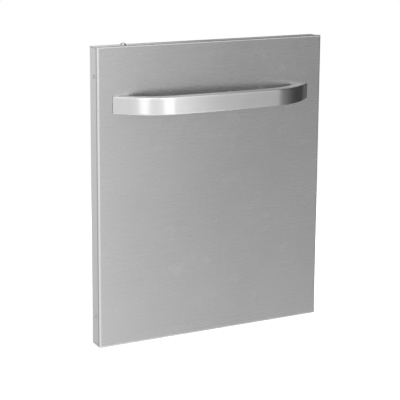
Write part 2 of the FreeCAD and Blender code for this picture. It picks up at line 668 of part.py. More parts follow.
def make_hinge_leaf(name, side, first_notch, notch_count):
    """Hinge leaf with its curled knuckles. The side is -1 for the leaf on the door, 1 for the
    fixed leaf. The notches leave room for the other leaf's knuckles."""
    body = hinge_body(name)
    outer = "Places.KnuckleOuter"
    inner = "Places.KnuckleInner"

    def curl_point(radius, share):
        """Point of the curl, a share of the way from the flat leaf to the curl's end."""
        turn = f"((90 + Sizes.CurlEnd) * {share} - 90)"
        return (f"{radius} * cos({turn})", f"{-side} * {radius} * sin({turn})")

    profile = new_sketch(body, name + "Profile", "XY_Plane")
    outline(profile, [
        ("-Sizes.LeafWidth", f"{side} * {outer}"),
        ("0", f"{side} * {outer}", outer, *curl_point(outer, "0.5")),
        curl_point(outer, "1"),
        (*curl_point(inner, "1"), inner, *curl_point(inner, "0.5")),
        ("0", f"{side} * {inner}"),
        ("-Sizes.LeafWidth", f"{side} * {inner}"),
    ])
    pad(body, profile, "Places.HingeLength")
    notch = new_sketch(body, name + "Notch", "XZ_Plane", f"-{outer} - Sizes.NotchGap")
    rectangle(notch, f"-{outer} - Sizes.NotchGap", f"{outer} + Sizes.NotchGap",
              f"{first_notch} * Places.KnucklePitch - Sizes.KnuckleGap / 2",
              f"({first_notch} + 1) * Places.KnucklePitch + Sizes.KnuckleGap / 2")
    first_cut = pocket(body, notch, f"2 * ({outer} + Sizes.NotchGap)", reverse=True)
    repeat(body, first_cut, "Z_Axis", f"2 * Places.KnucklePitch * ({notch_count} - 1)", notch_count)
    return body


def round_leaf_corners(body, name):
    """Rounded corners at a leaf's free edge."""
    length = value("Places.HingeLength")
    edge_place = -value("Sizes.LeafWidth")
    fillet(body, body.Tip, name + "Corners", "Sizes.LeafCorner",
           lambda edge: lies_at(edge, "X", edge_place)
           and (lies_at(edge, "Z", 0) or lies_at(edge, "Z", length)))


def make_hinge():
    """Continuous hinge: a fixed leaf, a moving leaf, one long pin and the leaf's rivets."""
    fixed = make_hinge_leaf("hinge_frame_leaf", 1, "1", "(Sizes.KnuckleCount - 1) / 2")
    round_leaf_corners(fixed, "FrameLeaf")
    screw_holes = new_sketch(fixed, "ScrewHoles", "XZ_Plane", "-Places.KnuckleOuter")
    for number in range(round(value("Sizes.HoleCount"))):
        circle(screw_holes, "-Sizes.HoleLine",
               f"Places.HingeLength / 2 - Places.HoleSpan / 2 + {number} * Places.HolePitch",
               "Sizes.HoleRadius")
    pocket(fixed, screw_holes, "Sizes.LeafThick", reverse=True)

    moving = make_hinge_leaf("hinge_door_leaf", -1, "0", "(Sizes.KnuckleCount + 1) / 2")
    round_leaf_corners(moving, "DoorLeaf")
    rivet_holes = new_sketch(moving, "LeafRivetHoles", "XZ_Plane", "Places.KnuckleInner")
    for number in range(round(value("Places.RivetCount"))):
        circle(rivet_holes, "-Sizes.RivetLine",
               f"Places.HingeLength / 2 - Places.RivetSpan / 2 + {number} * Places.HolePitch",
               "Sizes.RivetRadius")
    pocket(moving, rivet_holes, "Sizes.LeafThick", reverse=True)

    pin = hinge_body("hinge_pin")
    profile = new_sketch(pin, "PinProfile", "XZ_Plane")
    head = "Sizes.PinHead"
    depth = "Sizes.PinHeadHeight"
    bevel = "Sizes.PinHeadBevel"
    length = "Places.HingeLength"
    outline(profile, [
        ("0", f"-{depth}"),
        (f"{head} - {bevel}", f"-{depth}"),
        (head, f"-{bevel}"),
        (head, "0"),
        ("Sizes.PinRadius", "0"),
        ("Sizes.PinRadius", length),
        (head, length),
        (head, f"{length} + {bevel}"),
        (f"{head} - {bevel}", f"{length} + {depth}"),
        ("0", f"{length} + {depth}"),
    ])
    revolve(pin, profile, "Z_Axis")


def make_hinge_rivets():
    """Blind rivets through the moving leaf, the pan and the hinge-side channel."""
    body = new_body("hinge_rivets", "Places.DoorX + Places.RivetX", "Places.DoorY",
                    "-Places.RivetSpan / 2")
    profile = new_sketch(body, "RivetProfile", "XY_Plane")
    tail_start = "Places.RoomBack - Sizes.ChannelThick"
    leaf_face = "Sizes.DoorDepth + Sizes.LeafThick"
    crown_top = f"{leaf_face} + Sizes.RivetHeadHeight"
    half_turn = "(Places.RivetCrownAngle / 2)"
    outline(profile, [
        ("0", f"{tail_start} - Sizes.RivetTailHeight"),
        ("Sizes.RivetRadius", f"{tail_start} - Sizes.RivetTailHeight"),
        ("Sizes.RivetTail", f"{tail_start} - Sizes.RivetTailBelly"),
        ("Sizes.RivetTail", tail_start),
        ("Sizes.RivetRadius", tail_start),
        ("Sizes.RivetRadius", leaf_face),
        ("Sizes.RivetHead", leaf_face, "Places.RivetCrown",
         f"Places.RivetCrown * sin({half_turn})",
         f"{crown_top} - Places.RivetCrown * (1 - cos({half_turn}))"),
        ("0", crown_top),
    ])
    turned = revolve(body, profile, "Y_Axis")
    repeat(body, turned, "Z_Axis", "Places.RivetSpan", "Places.RivetCount")


def make_catch():
    """Ball catch: barrel with a rim, ball, spring, set screw and the nut that holds the barrel."""
    barrel = catch_body("catch_barrel")
    profile = new_sketch(barrel, "BarrelProfile", "XZ_Plane")
    outline(profile, [
        ("Places.BoreRadius", "-Sizes.BarrelReach"),
        ("Sizes.BarrelRadius", "-Sizes.BarrelReach"),
        ("Sizes.BarrelRadius", "0"),
        ("Sizes.CollarRadius", "0"),
        ("Sizes.CollarRadius", "Sizes.CollarHeight - Sizes.CollarChamfer"),
        ("Sizes.CollarRadius - Sizes.CollarChamfer", "Sizes.CollarHeight"),
        ("Sizes.RimRadius", "Sizes.CollarHeight"),
        ("Sizes.RimRadius", "Sizes.CollarHeight - Sizes.RimThick"),
        ("Places.BoreRadius", "Sizes.CollarHeight - Sizes.RimThick"),
    ])
    revolve(barrel, profile, "Z_Axis")

    ball = doc.addObject("Part::Sphere", "catch_ball")
    ball.Label = "catch_ball"
    ball.setExpression("Radius", "Sizes.BallRadius")
    ball.setExpression(".Placement.Base.x", "Places.DoorX + Places.CatchX")
    ball.setExpression(".Placement.Base.y", "Places.DoorY + Places.MidDepth")
    ball.setExpression(".Placement.Base.z", "Places.PanHalfHeight + Places.BallZ")

    spring = catch_body("catch_spring")
    coil = new_sketch(spring, "SpringRing", "XY_Plane", "-Sizes.AdjusterDepth")
    circle(coil, "0", "0", "Sizes.SpringOuter")
    circle(coil, "0", "0", "Sizes.SpringInner")
    pad(spring, coil, "Sizes.AdjusterDepth + Places.SpringTop")

    adjuster = catch_body("catch_adjuster")
    disc = new_sketch(adjuster, "AdjusterDisc", "XY_Plane", "-Sizes.AdjusterDepth")
    circle(disc, "0", "0", "Places.BoreRadius")
    pad(adjuster, disc, "Sizes.AdjusterHeight", reverse=True)
    slot = new_sketch(adjuster, "AdjusterSlot", "XY_Plane",
                      "-Sizes.AdjusterDepth - Sizes.AdjusterHeight + Sizes.AdjusterSlotDepth")
    rectangle(slot, "-Sizes.BarrelRadius", "Sizes.BarrelRadius", "-Sizes.AdjusterSlot / 2",
              "Sizes.AdjusterSlot / 2")
    pocket(adjuster, slot, "Sizes.AdjusterSlotDepth")

    nut = catch_body("catch_nut")
    sketch = new_sketch(nut, "CatchNutOutline", "XY_Plane", "Places.CatchNutTop")
    hexagon(sketch, "0", "0", "Sizes.CatchNutFlats")
    circle(sketch, "0", "0", "Sizes.BarrelRadius")
    pad(nut, sketch, "Sizes.CatchNutHeight", reverse=True)


def make_bumper(name, end):
    """Push-in rubber bumper that keeps the closed door parallel to the island."""
    body = new_body(name, "Places.DoorX + Places.BumperX", "Places.DoorY", f"{end} * Places.BumperZ")
    profile = new_sketch(body, name + "Profile", "XY_Plane")
    back = "Sizes.DoorDepth"
    outline(profile, [
        ("0", "Places.RoomBack - Sizes.BumperBarbDepth"),
        ("Sizes.BumperBarbTip", "Places.RoomBack - Sizes.BumperBarbDepth"),
        ("Sizes.BumperBarb", "Places.RoomBack - Sizes.BumperBarbSide"),
        ("Sizes.BumperBarb", "Places.RoomBack"),
        ("Sizes.BumperNeck", "Places.RoomBack"),
        ("Sizes.BumperNeck", back),
        ("Sizes.BumperRadius", back),
        ("Sizes.BumperRadius", f"{back} + Sizes.BumperSide"),
        ("Sizes.BumperTip", f"{back} + Places.CloseGap"),
        ("0", f"{back} + Places.CloseGap"),
    ])
    revolve(body, profile, "Y_Axis")


make_front_skin()
make_rear_pan()
make_side_channel("latch_side_channel", -1)
make_side_channel("hinge_side_channel", 1)
make_rail("top_rail", 1)
make_rail("bottom_rail", -1)
make_handle_bar()
make_handle_blocks()
make_handle_studs()
make_backing_plate("handle_plate_left", -1)
make_backing_plate("handle_plate_right", 1)
make_handle_washers()
make_handle_nuts()
make_side_fasteners("latch", -1)
make_side_fasteners("hinge", 1)
make_hinge()
make_hinge_rivets()
make_catch()
make_bumper("bumper_upper", 1)
make_bumper("bumper_lower", -1)

doc.recompute()
for item in doc.Objects:
    if "Invalid" in item.State or "Error" in item.State:
        raise RuntimeError(f"{item.Label} failed: {item.State}")

nodes = [item for item in doc.Objects if item.TypeId in ("PartDesign::Body", "Part::Sphere")]
for node in nodes:
    if node.Shape.isNull() or not node.Shape.isValid() or not node.Shape.Solids:
        raise RuntimeError(f"{node.Label} has no sound shape")

os.makedirs("parts", exist_ok=True)
for node in nodes:
    node.Shape.exportStep(f"parts/{node.Label}.step")
    print(f"{node.Label}: {len(node.Shape.Solids)} solids, {node.Shape.Volume:.1f} mm3")
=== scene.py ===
"""Looks of a stainless access door for an outdoor island: finishes, fine forms and studio.

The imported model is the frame, and every piece stands in it in metres. X runs along the door,
-Y is the side that a user faces, and +Z is up.
"""

import json
import logging
import math
from collections.abc import Callable, Iterable, Mapping, Sequence
from dataclasses import dataclass
from enum import Enum
from typing import Any

import bmesh
import bpy
from mathutils import Matrix, Vector

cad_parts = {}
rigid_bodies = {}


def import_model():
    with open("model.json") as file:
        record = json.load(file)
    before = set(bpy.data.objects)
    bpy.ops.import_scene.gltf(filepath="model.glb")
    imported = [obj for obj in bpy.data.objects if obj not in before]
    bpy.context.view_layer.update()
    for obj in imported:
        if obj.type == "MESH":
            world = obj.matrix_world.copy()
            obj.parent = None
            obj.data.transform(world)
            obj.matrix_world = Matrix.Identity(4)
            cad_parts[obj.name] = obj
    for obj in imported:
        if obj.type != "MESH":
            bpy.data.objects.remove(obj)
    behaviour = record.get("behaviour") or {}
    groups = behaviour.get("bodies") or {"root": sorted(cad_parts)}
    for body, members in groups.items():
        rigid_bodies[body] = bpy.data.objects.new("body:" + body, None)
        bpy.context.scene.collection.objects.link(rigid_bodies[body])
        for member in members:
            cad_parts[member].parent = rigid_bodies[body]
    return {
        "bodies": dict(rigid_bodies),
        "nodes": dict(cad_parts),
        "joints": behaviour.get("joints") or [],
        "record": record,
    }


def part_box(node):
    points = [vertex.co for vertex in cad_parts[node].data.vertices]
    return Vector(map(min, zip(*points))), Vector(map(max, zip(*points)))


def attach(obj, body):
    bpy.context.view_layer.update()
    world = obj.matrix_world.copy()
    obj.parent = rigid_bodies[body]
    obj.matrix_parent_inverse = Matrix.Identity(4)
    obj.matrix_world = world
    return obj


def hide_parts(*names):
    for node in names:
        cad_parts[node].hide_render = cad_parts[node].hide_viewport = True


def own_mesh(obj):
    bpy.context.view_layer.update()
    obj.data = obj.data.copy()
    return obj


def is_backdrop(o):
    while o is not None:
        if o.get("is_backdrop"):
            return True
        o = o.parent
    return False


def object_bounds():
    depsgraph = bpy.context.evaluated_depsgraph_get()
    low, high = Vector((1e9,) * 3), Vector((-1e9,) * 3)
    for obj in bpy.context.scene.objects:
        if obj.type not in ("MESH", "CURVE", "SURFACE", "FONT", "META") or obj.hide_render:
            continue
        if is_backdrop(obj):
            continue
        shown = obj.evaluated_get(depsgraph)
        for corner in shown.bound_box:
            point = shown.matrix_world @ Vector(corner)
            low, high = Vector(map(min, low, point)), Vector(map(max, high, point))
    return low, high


LOG = logging.getLogger("access_door")

MM = 0.001
QUARTER = math.pi / 2
MERGE = 1e-6
FLAT_ANGLE = math.radians(0.4)
ROUNDED_ANGLE = math.radians(35)
SHARP_ANGLE = math.radians(50)
PHOTO_SIDE = 400

# Names of the values that a mesh carries for its finish; some of them place painted highlight and painted
# shade.
WORN_AND_HIGHLIT = "wear"
SHADED_FOLD = "folded_back"
LOCAL = "local"
GRAIN_MAP = "UVMap"

Point = tuple[float, float]
Colour = tuple[float, float, float]


class Grain(Enum):
    """Way that a finish's fine scratches run."""

    LEVEL = "level"
    UPRIGHT = "upright"
    ALONG_TUBE = "along the tube"


class Side(Enum):
    """Upright side of the door."""

    LATCH = -1
    HINGE = 1


class Shade:
    """Value or colour that varies over a surface.

    The arithmetic operators add Math nodes to the graph that the value belongs to.
    """

    def __init__(self, graph: "Graph", socket: bpy.types.NodeSocket) -> None:
        """Wraps an output socket of one of the graph's nodes."""
        self.graph = graph
        self.socket = socket

    def other(self, name: str) -> "Shade":
        """Another output of the same node."""
        return Shade(self.graph, self.socket.node.outputs[name])

    def maths(self, operation: str, *values: "float | Shade") -> "Shade":
        """Result of a Math node with this value first."""
        return self.graph.maths(operation, self, *values)

    def __add__(self, other: "float | Shade") -> "Shade":
        """Sum."""
        return self.maths("ADD", other)

    __radd__ = __add__

    def __mul__(self, other: "float | Shade") -> "Shade":
        """Product."""
        return self.maths("MULTIPLY", other)

    __rmul__ = __mul__

    def __sub__(self, other: "float | Shade") -> "Shade":
        """Difference."""
        return self.maths("SUBTRACT", other)

    def __rsub__(self, other: float) -> "Shade":
        """Difference from a number."""
        return self.graph.maths("SUBTRACT", other, self)

    def __truediv__(self, other: "float | Shade") -> "Shade":
        """Quotient."""
        return self.maths("DIVIDE", other)

    def __rtruediv__(self, other: float) -> "Shade":
        """Quotient of a number and this value."""
        return self.graph.maths("DIVIDE", other, self)

    def __neg__(self) -> "Shade":
        """Opposite."""
        return self * -1.0

    def __abs__(self) -> "Shade":
        """Size without its sign."""
        return self.maths("ABSOLUTE")

    def __gt__(self, other: "float | Shade") -> "Shade":
        """1 where this value is the greater, otherwise 0."""
        return self.maths("GREATER_THAN", other)

    def fade(self, start: float, end: float) -> "Shade":
        """Smooth step of this value.

        Args:
            start: Where the result is still 0.
            end: Where it has reached 1. It may lie below start.

        Returns:
            A value from 0 to 1.
        """
        low, high = sorted((start, end))
        rise = self.graph.add("ShaderNodeMapRange", {"interpolation_type": "SMOOTHSTEP"},
                              {"Value": self, "From Min": low, "From Max": high})
        return rise if start < end else 1.0 - rise


class Graph:
    """Node tree, for a material, a world or a geometry modifier."""

    def __init__(self, tree: bpy.types.NodeTree) -> None:
        """Takes over a tree and empties it."""
        self.tree = tree
        self.tree.nodes.clear()

    def add(self, kind: str, settings: Mapping[str, Any] | None = None,
            sockets: Mapping[str | int, Any] | None = None, output: str | int = 0) -> Shade:
        """Adds a node.

        Args:
            kind: The node's type.
            settings: Its properties. They are set first.
            sockets: Values or links of its inputs, by name or number.
            output: The output that is returned.

        Returns:
            One of the node's outputs.
        """
        node = self.tree.nodes.new(kind)
        for name, setting in (settings or {}).items():
            setattr(node, name, setting)
        for key, given in (sockets or {}).items():
            if isinstance(given, Shade):
                self.tree.links.new(given.socket, node.inputs[key])
            else:
                node.inputs[key].default_value = given
        return Shade(self, node.outputs[output])

    def end(self, kind: str, result: Shade) -> None:
        """Adds the tree's output node and sends it the result."""
        self.tree.links.new(result.socket, self.tree.nodes.new(kind).inputs[0])

    def maths(self, operation: str, *values: "float | Shade") -> Shade:
        """Result of a Math node with the given inputs, in order."""
        return self.add("ShaderNodeMath", {"operation": operation}, dict(enumerate(values)))

    def join(self, x: "float | Shade", y: "float | Shade", z: "float | Shade") -> Shade:
        """Vector with the given parts."""
        return self.add("ShaderNodeCombineXYZ", {}, {"X": x, "Y": y, "Z": z})

    def split(self, vector: Shade) -> tuple[Shade, Shade, Shade]:
        """Parts of a vector."""
        first = self.add("ShaderNodeSeparateXYZ", {}, {"Vector": vector}, "X")
        return first, first.other("Y"), first.other("Z")


class MaterialGraph(Graph):
    """Node tree of a new material with one shader."""

    def __init__(self, name: str) -> None:
        """Makes the material.

        Args:
            name: The material's name.
        """
        self.material = bpy.data.materials.new(name)
        self.material.use_nodes = True
        super().__init__(self.material.node_tree)

    def place(self, kind: str = "Object") -> Shade:
        """Texture coordinates of one kind: Object, UV or Normal."""
        return self.add("ShaderNodeTexCoord", {}, {}, kind)

    def spread(self, per_metre: float) -> Shade:
        """Place on the object, counted in so many steps to a metre."""
        return self.add("ShaderNodeVectorMath", {"operation": "SCALE"},
                        {"Vector": self.place(), "Scale": per_metre})

    def attribute(self, name: str, output: str = "Fac") -> Shade:
        """Named value that the mesh carries."""
        return self.add("ShaderNodeAttribute", {"attribute_name": name}, {}, output)

    def facing(self) -> tuple[Shade, Shade, Shade]:
        """Parts of the surface's own normal."""
        return self.split(self.place("Normal"))

    def noise(self, place: Shade, detail: float, roughness: float) -> Shade:
        """Soft noise from 0 to 1, with so many finer layers of that strength."""
        return self.add("ShaderNodeTexNoise", {"noise_dimensions": "3D"}, {
            "Vector": place, "Scale": 1.0, "Detail": detail, "Roughness": roughness})

    def ripple(self, place: Shade, detail: float, roughness: float) -> Shade:
        """The same noise about 0, from -0.5 to 0.5."""
        return self.noise(place, detail, roughness) - 0.5

    def mix(self, low: Colour | Shade, high: Colour | Shade, factor: Shade) -> Shade:
        """Colour between two others: the first where the factor is 0 and the second where it is 1."""
        first, second = (end if isinstance(end, Shade) else (*end, 1) for end in (low, high))
        return self.add("ShaderNodeMix", {"data_type": "RGBA", "clamp_factor": True},
                        {0: factor, 6: first, 7: second}, 2)

    def bump(self, height: Shade, depth: float, strength: float) -> Shade:
        """Normal tilted by a height from 0 to 1, where 1 stands for the depth in metres."""
        return self.add("ShaderNodeBump", {}, {"Height": height, "Distance": depth, "Strength": strength})

    def surface(self, sockets: Mapping[str, Any]) -> bpy.types.Material:
        """Closes the tree with its shader, which gets these inputs, and gives the material."""
        self.end("ShaderNodeOutputMaterial", self.add("ShaderNodeBsdfPrincipled", {}, sockets))
        return self.material


def grey(level: float) -> Colour:
    """Neutral colour."""
    return level, level, level


def tinted(colour: Colour, factor: float) -> Colour:
    """Colour made lighter or darker by a factor."""
    return tuple(min(1.0, part * factor) for part in colour)


@dataclass(frozen=True)
class Finish:
    """Finish of a surface, named as the record's slots are."""

    name: str
    colour: Colour
    roughness: float

    def sockets(self, graph: MaterialGraph) -> dict[str, Any]:
        """Inputs of the shader, which each finish works out in its own way."""
        raise NotImplementedError

    def material(self) -> bpy.types.Material:
        """Makes the material."""
        graph = MaterialGraph(self.name)
        return graph.surface(self.sockets(graph))


@dataclass(frozen=True)
class BrushedSteel(Finish):
    """Stainless steel with a ground grain, a few smudges, and bright edges that are partly worn and partly
    painted highlight.

    Streak and reach are the width and length of the finest scratches, and stretch says how far they
    draw a highlight out. The folded sides' darker, rougher tone is painted shade of the gap between the skin
    and the pan; level_gloss is how much smoother level faces are; and the faces that look rearwards take a
    darker tone, painted shade on the side of the pull that faces the door.
    """

    grain: Grain
    streak: float = 0.35 * MM
    reach: float = 60 * MM
    contrast: float = 0.12
    depth: float = 0.006 * MM
    stretch: float = 0.75
    cloud: float = 0.05
    dust: float = 0.0
    fold_shade: float = 0.0
    level_gloss: float = 0.0
    rear_shade: float = 1.0
    wear: float = 0.6
    base: float = 0.4
    darkest: float = 0.8
    lightest: float = 1.3

    def grain_places(self, graph: MaterialGraph) -> tuple[Shade, Shade]:
        """Distances along and across the grain.

        Args:
            graph: The material's graph.

        Returns:
            Both distances in metres.
        """
        if self.grain is Grain.ALONG_TUBE:
            along, across, _ = graph.split(graph.place("UV"))
            return along, across
        x, y, z = graph.split(graph.place())
        level_face = abs(graph.facing()[2]) > 0.7
        if self.grain is Grain.UPRIGHT:
            return z + y * level_face, x + y * (1.0 - level_face)
        return x + y, z + (y - z) * level_face

    def streaks(self, graph: MaterialGraph, widen: float, detail: float, start: float) -> Shade:
        """Scratches along the grain.

        Args:
            graph: The material's graph.
            widen: How much wider than the finest scratches they are.
            detail: How many finer layers they have.
            start: Place in the noise, so that two layers differ.

        Returns:
            Their height, from -0.5 to 0.5.
        """
        along, across = self.grain_places(graph)
        place = graph.join(along / (self.reach * math.sqrt(widen)), across / (self.streak * widen), start)
        return graph.ripple(place, detail, roughness=0.6)

    def specks(self, graph: MaterialGraph) -> Shade:
        """Sparse specks of dust: 1 on a speck and 0 elsewhere.

        Args:
            graph: The material's graph.

        Returns:
            The specks.
        """
        near = graph.add("ShaderNodeTexVoronoi", {"feature": "F1"},
                         {"Vector": graph.place(), "Scale": 55.0, "Randomness": 1.0}, "Distance")
        patch = graph.noise(graph.spread(6.0), detail=2.0, roughness=0.5).fade(0.46, 0.6)
        return near.fade(0.055, 0.03) * patch

    def sockets(self, graph: MaterialGraph) -> dict[str, Any]:
        """Inputs of the shader.

        Args:
            graph: The material's graph.

        Returns:
            The inputs by name.
        """
        fine = self.streaks(graph, widen=1.0, detail=2.0, start=0.3)
        broad = self.streaks(graph, widen=7.0, detail=3.0, start=5.1)
        clouds = graph.ripple(graph.spread(7.0), detail=3.0, roughness=0.55)
        smudge = graph.noise(graph.spread(23.0), detail=4.0, roughness=0.6).fade(0.56, 0.72)
        nicks = graph.noise(graph.spread(420.0), detail=2.0, roughness=0.5).fade(0.35, 0.65)
        # Worn edges lighten the colour; on the skin's bends they carry a painted highlight too.
        worn = graph.attribute(WORN_AND_HIGHLIT) * (0.7 + nicks * 0.3)
        change = fine * self.contrast + broad * self.contrast * 0.5 + clouds * self.cloud * 2.0
        if self.dust:
            change = change + self.specks(graph) * self.dust
        tone = self.base + change * 2.0 + worn * self.wear
        colour = graph.mix(tinted(self.colour, self.darkest), tinted(self.colour, self.lightest), tone)
        rough = self.roughness + (fine * 0.8 + broad * 0.3) * self.contrast + clouds * self.cloud
        rough = rough + smudge * 0.02 - worn * 0.06
        # Painted shade: the folded sides are darkened, and roughened, where the skin's folds stand beside the
        # pan.
        if self.fold_shade:
            back = graph.attribute(SHADED_FOLD)
            colour = graph.mix(colour, tinted(self.colour, 1.0 - self.fold_shade), back)
            rough = rough + back * 0.08
        # Painted shade: faces that look rearwards, on the pull the side towards the door, take a darker tone.
        if self.rear_shade < 1.0:
            painted_rear_shade = graph.facing()[1].fade(0.2, 0.6)
            colour = graph.mix(colour, tinted(self.colour, self.rear_shade), painted_rear_shade)
        if self.level_gloss:
            rough = rough - abs(graph.facing()[2]).fade(0.6, 0.95) * self.level_gloss
        return {
            "Base Color": colour,
            "Metallic": 1.0,
            "Roughness": rough,
            "Anisotropic": self.stretch,
            "Anisotropic Rotation": 0.0 if self.grain is Grain.UPRIGHT else 0.25,
            "Normal": graph.bump(fine * 0.6 + broad * 0.4 + 0.5, self.depth, strength=0.35),
        }


@dataclass(frozen=True)
class TurnedSteel(Finish):
    """Small machined steel part with fine rings round its axis."""

    pitch: float = 0.16 * MM
    contrast: float = 0.5
    depth: float = 0.01 * MM

    def sockets(self, graph: MaterialGraph) -> dict[str, Any]:
        """Inputs of the shader.

        Args:
            graph: The material's graph.

        Returns:
            The inputs by name.
        """
        across, deep, high = graph.split(graph.attribute(LOCAL, "Vector"))
        radius = (across * across + deep * deep).maths("SQRT")
        place = graph.join(radius / self.pitch, high / self.pitch, 0.7)
        rings = graph.ripple(place, detail=2.0, roughness=0.5)
        stain = graph.ripple(graph.spread(160.0), detail=3.0, roughness=0.6)
        worn = graph.attribute(WORN_AND_HIGHLIT)
        tone = 0.5 + rings * self.contrast + stain * 0.6 + worn * 0.35
        return {
            "Base Color": graph.mix(tinted(self.colour, 0.84), tinted(self.colour, 1.16), tone),
            "Metallic": 1.0,
            "Roughness": self.roughness + rings * 0.14 + stain * 0.12 - worn * 0.06,
            "Normal": graph.bump(rings + 0.5, self.depth, strength=0.3),
        }


@dataclass(frozen=True)
class PolishedSteel(Finish):
    """Hardened ball or wire with faint rub marks."""

    depth: float = 0.004 * MM

    def sockets(self, graph: MaterialGraph) -> dict[str, Any]:
        """Inputs of the shader.

        Args:
            graph: The material's graph.

        Returns:
            The inputs by name.
        """
        x, y, z = graph.split(graph.place())
        rub = graph.ripple(graph.join(x * 900.0, y * 900.0, z * 120.0), detail=3.0, roughness=0.6)
        haze = graph.ripple(graph.spread(240.0), detail=2.0, roughness=0.5)
        tone = 0.5 + rub * 0.5 + haze * 0.5
        return {
            "Base Color": graph.mix(tinted(self.colour, 0.9), tinted(self.colour, 1.1), tone),
            "Metallic": 1.0,
            "Roughness": self.roughness + rub * 0.06 + haze * 0.05,
            "Normal": graph.bump(rub + 0.5, self.depth, strength=0.2),
        }


@dataclass(frozen=True)
class MouldedRubber(Finish):
    """Matte black rubber with a fine moulded skin and a pale bloom on its edges."""

    bloomed: float = 3.2
    depth: float = 0.04 * MM

    def sockets(self, graph: MaterialGraph) -> dict[str, Any]:
        """Inputs of the shader.

        Args:
            graph: The material's graph.

        Returns:
            The inputs by name.
        """
        skin = graph.noise(graph.spread(2400.0), detail=3.0, roughness=0.6)
        bloom = graph.noise(graph.spread(130.0), detail=3.0, roughness=0.6).fade(0.45, 0.8)
        worn = graph.attribute(WORN_AND_HIGHLIT)
        tone = bloom * 0.5 + worn * 0.35 + skin * 0.12
        return {
            "Base Color": graph.mix(self.colour, tinted(self.colour, self.bloomed), tone),
            "Metallic": 0.0,
            "Roughness": self.roughness + skin * 0.12 - worn * 0.08,
            "Sheen Weight": 0.15,
            "Normal": graph.bump(skin, self.depth, strength=0.5),
        }


FINISHES: tuple[Finish, ...] = (
    # The panel's bends carry a painted highlight and its folded sides painted shade; the pull's rear faces
    # carry painted shade.
    BrushedSteel("panel_steel", grey(0.635), 0.27, Grain.LEVEL, contrast=0.06, depth=0.001 * MM,
                 stretch=0.58, cloud=0.03, dust=0.4, fold_shade=0.4),
    BrushedSteel("pan_steel", grey(0.62), 0.30, Grain.LEVEL, contrast=0.14),
    BrushedSteel("channel_steel", grey(0.50), 0.40, Grain.UPRIGHT, cloud=0.12, stretch=0.3),
    BrushedSteel("bar_steel", grey(0.76), 0.34, Grain.ALONG_TUBE, streak=0.5 * MM, reach=120 * MM,
                 contrast=0.2, stretch=0.96, level_gloss=0.12, rear_shade=0.38, wear=0.1),
    BrushedSteel("hinge_steel", grey(0.56), 0.32, Grain.UPRIGHT, contrast=0.2, stretch=0.5),
    TurnedSteel("fastener_steel", grey(0.60), 0.17),
    TurnedSteel("catch_steel", grey(0.78), 0.34, contrast=0.7),
    PolishedSteel("ball_chrome", grey(0.78), 0.08),
    PolishedSteel("spring_steel", grey(0.50), 0.24),
    MouldedRubber("bumper_rubber", grey(0.028), 0.62),
)


def arc(centre: Point, radius: float, start: float, end: float, steps: int) -> list[Point]:
    """Points of an arc of so many chords between two angles in degrees, both ends included."""
    turns = (math.radians(start + (end - start) * step / steps) for step in range(steps + 1))
    return [(centre[0] + radius * math.cos(turn), centre[1] + radius * math.sin(turn)) for turn in turns]


def dome(radius: float, rise: float, degrees: Iterable[float], power: float = 1.0) -> list[Point]:
    """Radius and height along a domed head, which is fuller where the power is below 1."""
    turns = map(math.radians, degrees)
    return [(radius * math.sin(turn), rise * math.cos(turn) ** power) for turn in turns]


def loft(name: str, rings: Sequence[Sequence[Vector]]) -> bpy.types.Mesh:
    """Closed mesh through rings of equally many points.

    Args:
        name: The mesh's name.
        rings: The rings, from one end to the other.

    Returns:
        The mesh, with a face over each end.
    """
    shape = bmesh.new()
    rows = [[shape.verts.new(point) for point in ring] for ring in rings]
    for row, following in zip(rows, rows[1:]):
        for first in range(len(row)):
            second = (first + 1) % len(row)
            shape.faces.new((row[first], row[second], following[second], following[first]))
    shape.faces.new(reversed(rows[0]))
    shape.faces.new(rows[-1])
    bmesh.ops.remove_doubles(shape, verts=shape.verts, dist=MERGE)
    bmesh.ops.dissolve_degenerate(shape, dist=MERGE, edges=shape.edges)
    bmesh.ops.recalc_face_normals(shape, faces=shape.faces)
    mesh = bpy.data.meshes.new(name)
    shape.to_mesh(mesh)
    shape.free()
    return mesh


def turned(name: str, profile: Sequence[Point], facets: int) -> bpy.types.Mesh:
    """Solid turned about Z, from the radius and height of its outline's points."""
    turns = [math.tau * step / facets for step in range(facets)]
    return loft(name, [[Vector((radius * math.cos(turn), radius * math.sin(turn), height)) for turn in turns]
                       for radius, height in profile])


def mark(mesh: bpy.types.Mesh, name: str, rule: Callable[[Vector], float]) -> None:
    """Stores a value at each point of a mesh.

    Args:
        mesh: The mesh.
        name: The value's name.
        rule: Gives the value at a place.
    """
    stored = mesh.attributes.new(name, "FLOAT", "POINT")
    for vertex, row in zip(mesh.vertices, stored.data):
        row.value = rule(vertex.co)


def keep_local(mesh: bpy.types.Mesh) -> None:
    """Stores each point's own place on the mesh, so that copies of it carry it along.

    Args:
        mesh: The mesh, with its axis on Z.
    """
    stored = mesh.attributes.new(LOCAL, "FLOAT_VECTOR", "POINT")
    for vertex, row in zip(mesh.vertices, stored.data):
        row.vector = vertex.co


def scene_object(name: str, data: bpy.types.ID) -> bpy.types.Object:
    """New object in the scene, at the origin.

    Args:
        name: The object's name.
        data: Its mesh, curve, lamp or camera.

    Returns:
        The object.
    """
    item = bpy.data.objects.new(name, data)
    bpy.context.scene.collection.objects.link(item)
    return item


def drop(item: bpy.types.Object) -> None:
    """Removes a helper object."""
    bpy.data.objects.remove(item)


def apply_modifiers(item: bpy.types.Object) -> bpy.types.Mesh:
    """Plain mesh of a helper object as its modifiers leave it.

    Args:
        item: The object. It is removed.

    Returns:
        The new mesh.
    """
    depsgraph = bpy.context.evaluated_depsgraph_get()
    mesh = bpy.data.meshes.new_from_object(item.evaluated_get(depsgraph))
    item.modifiers.clear()
    drop(item)
    return mesh


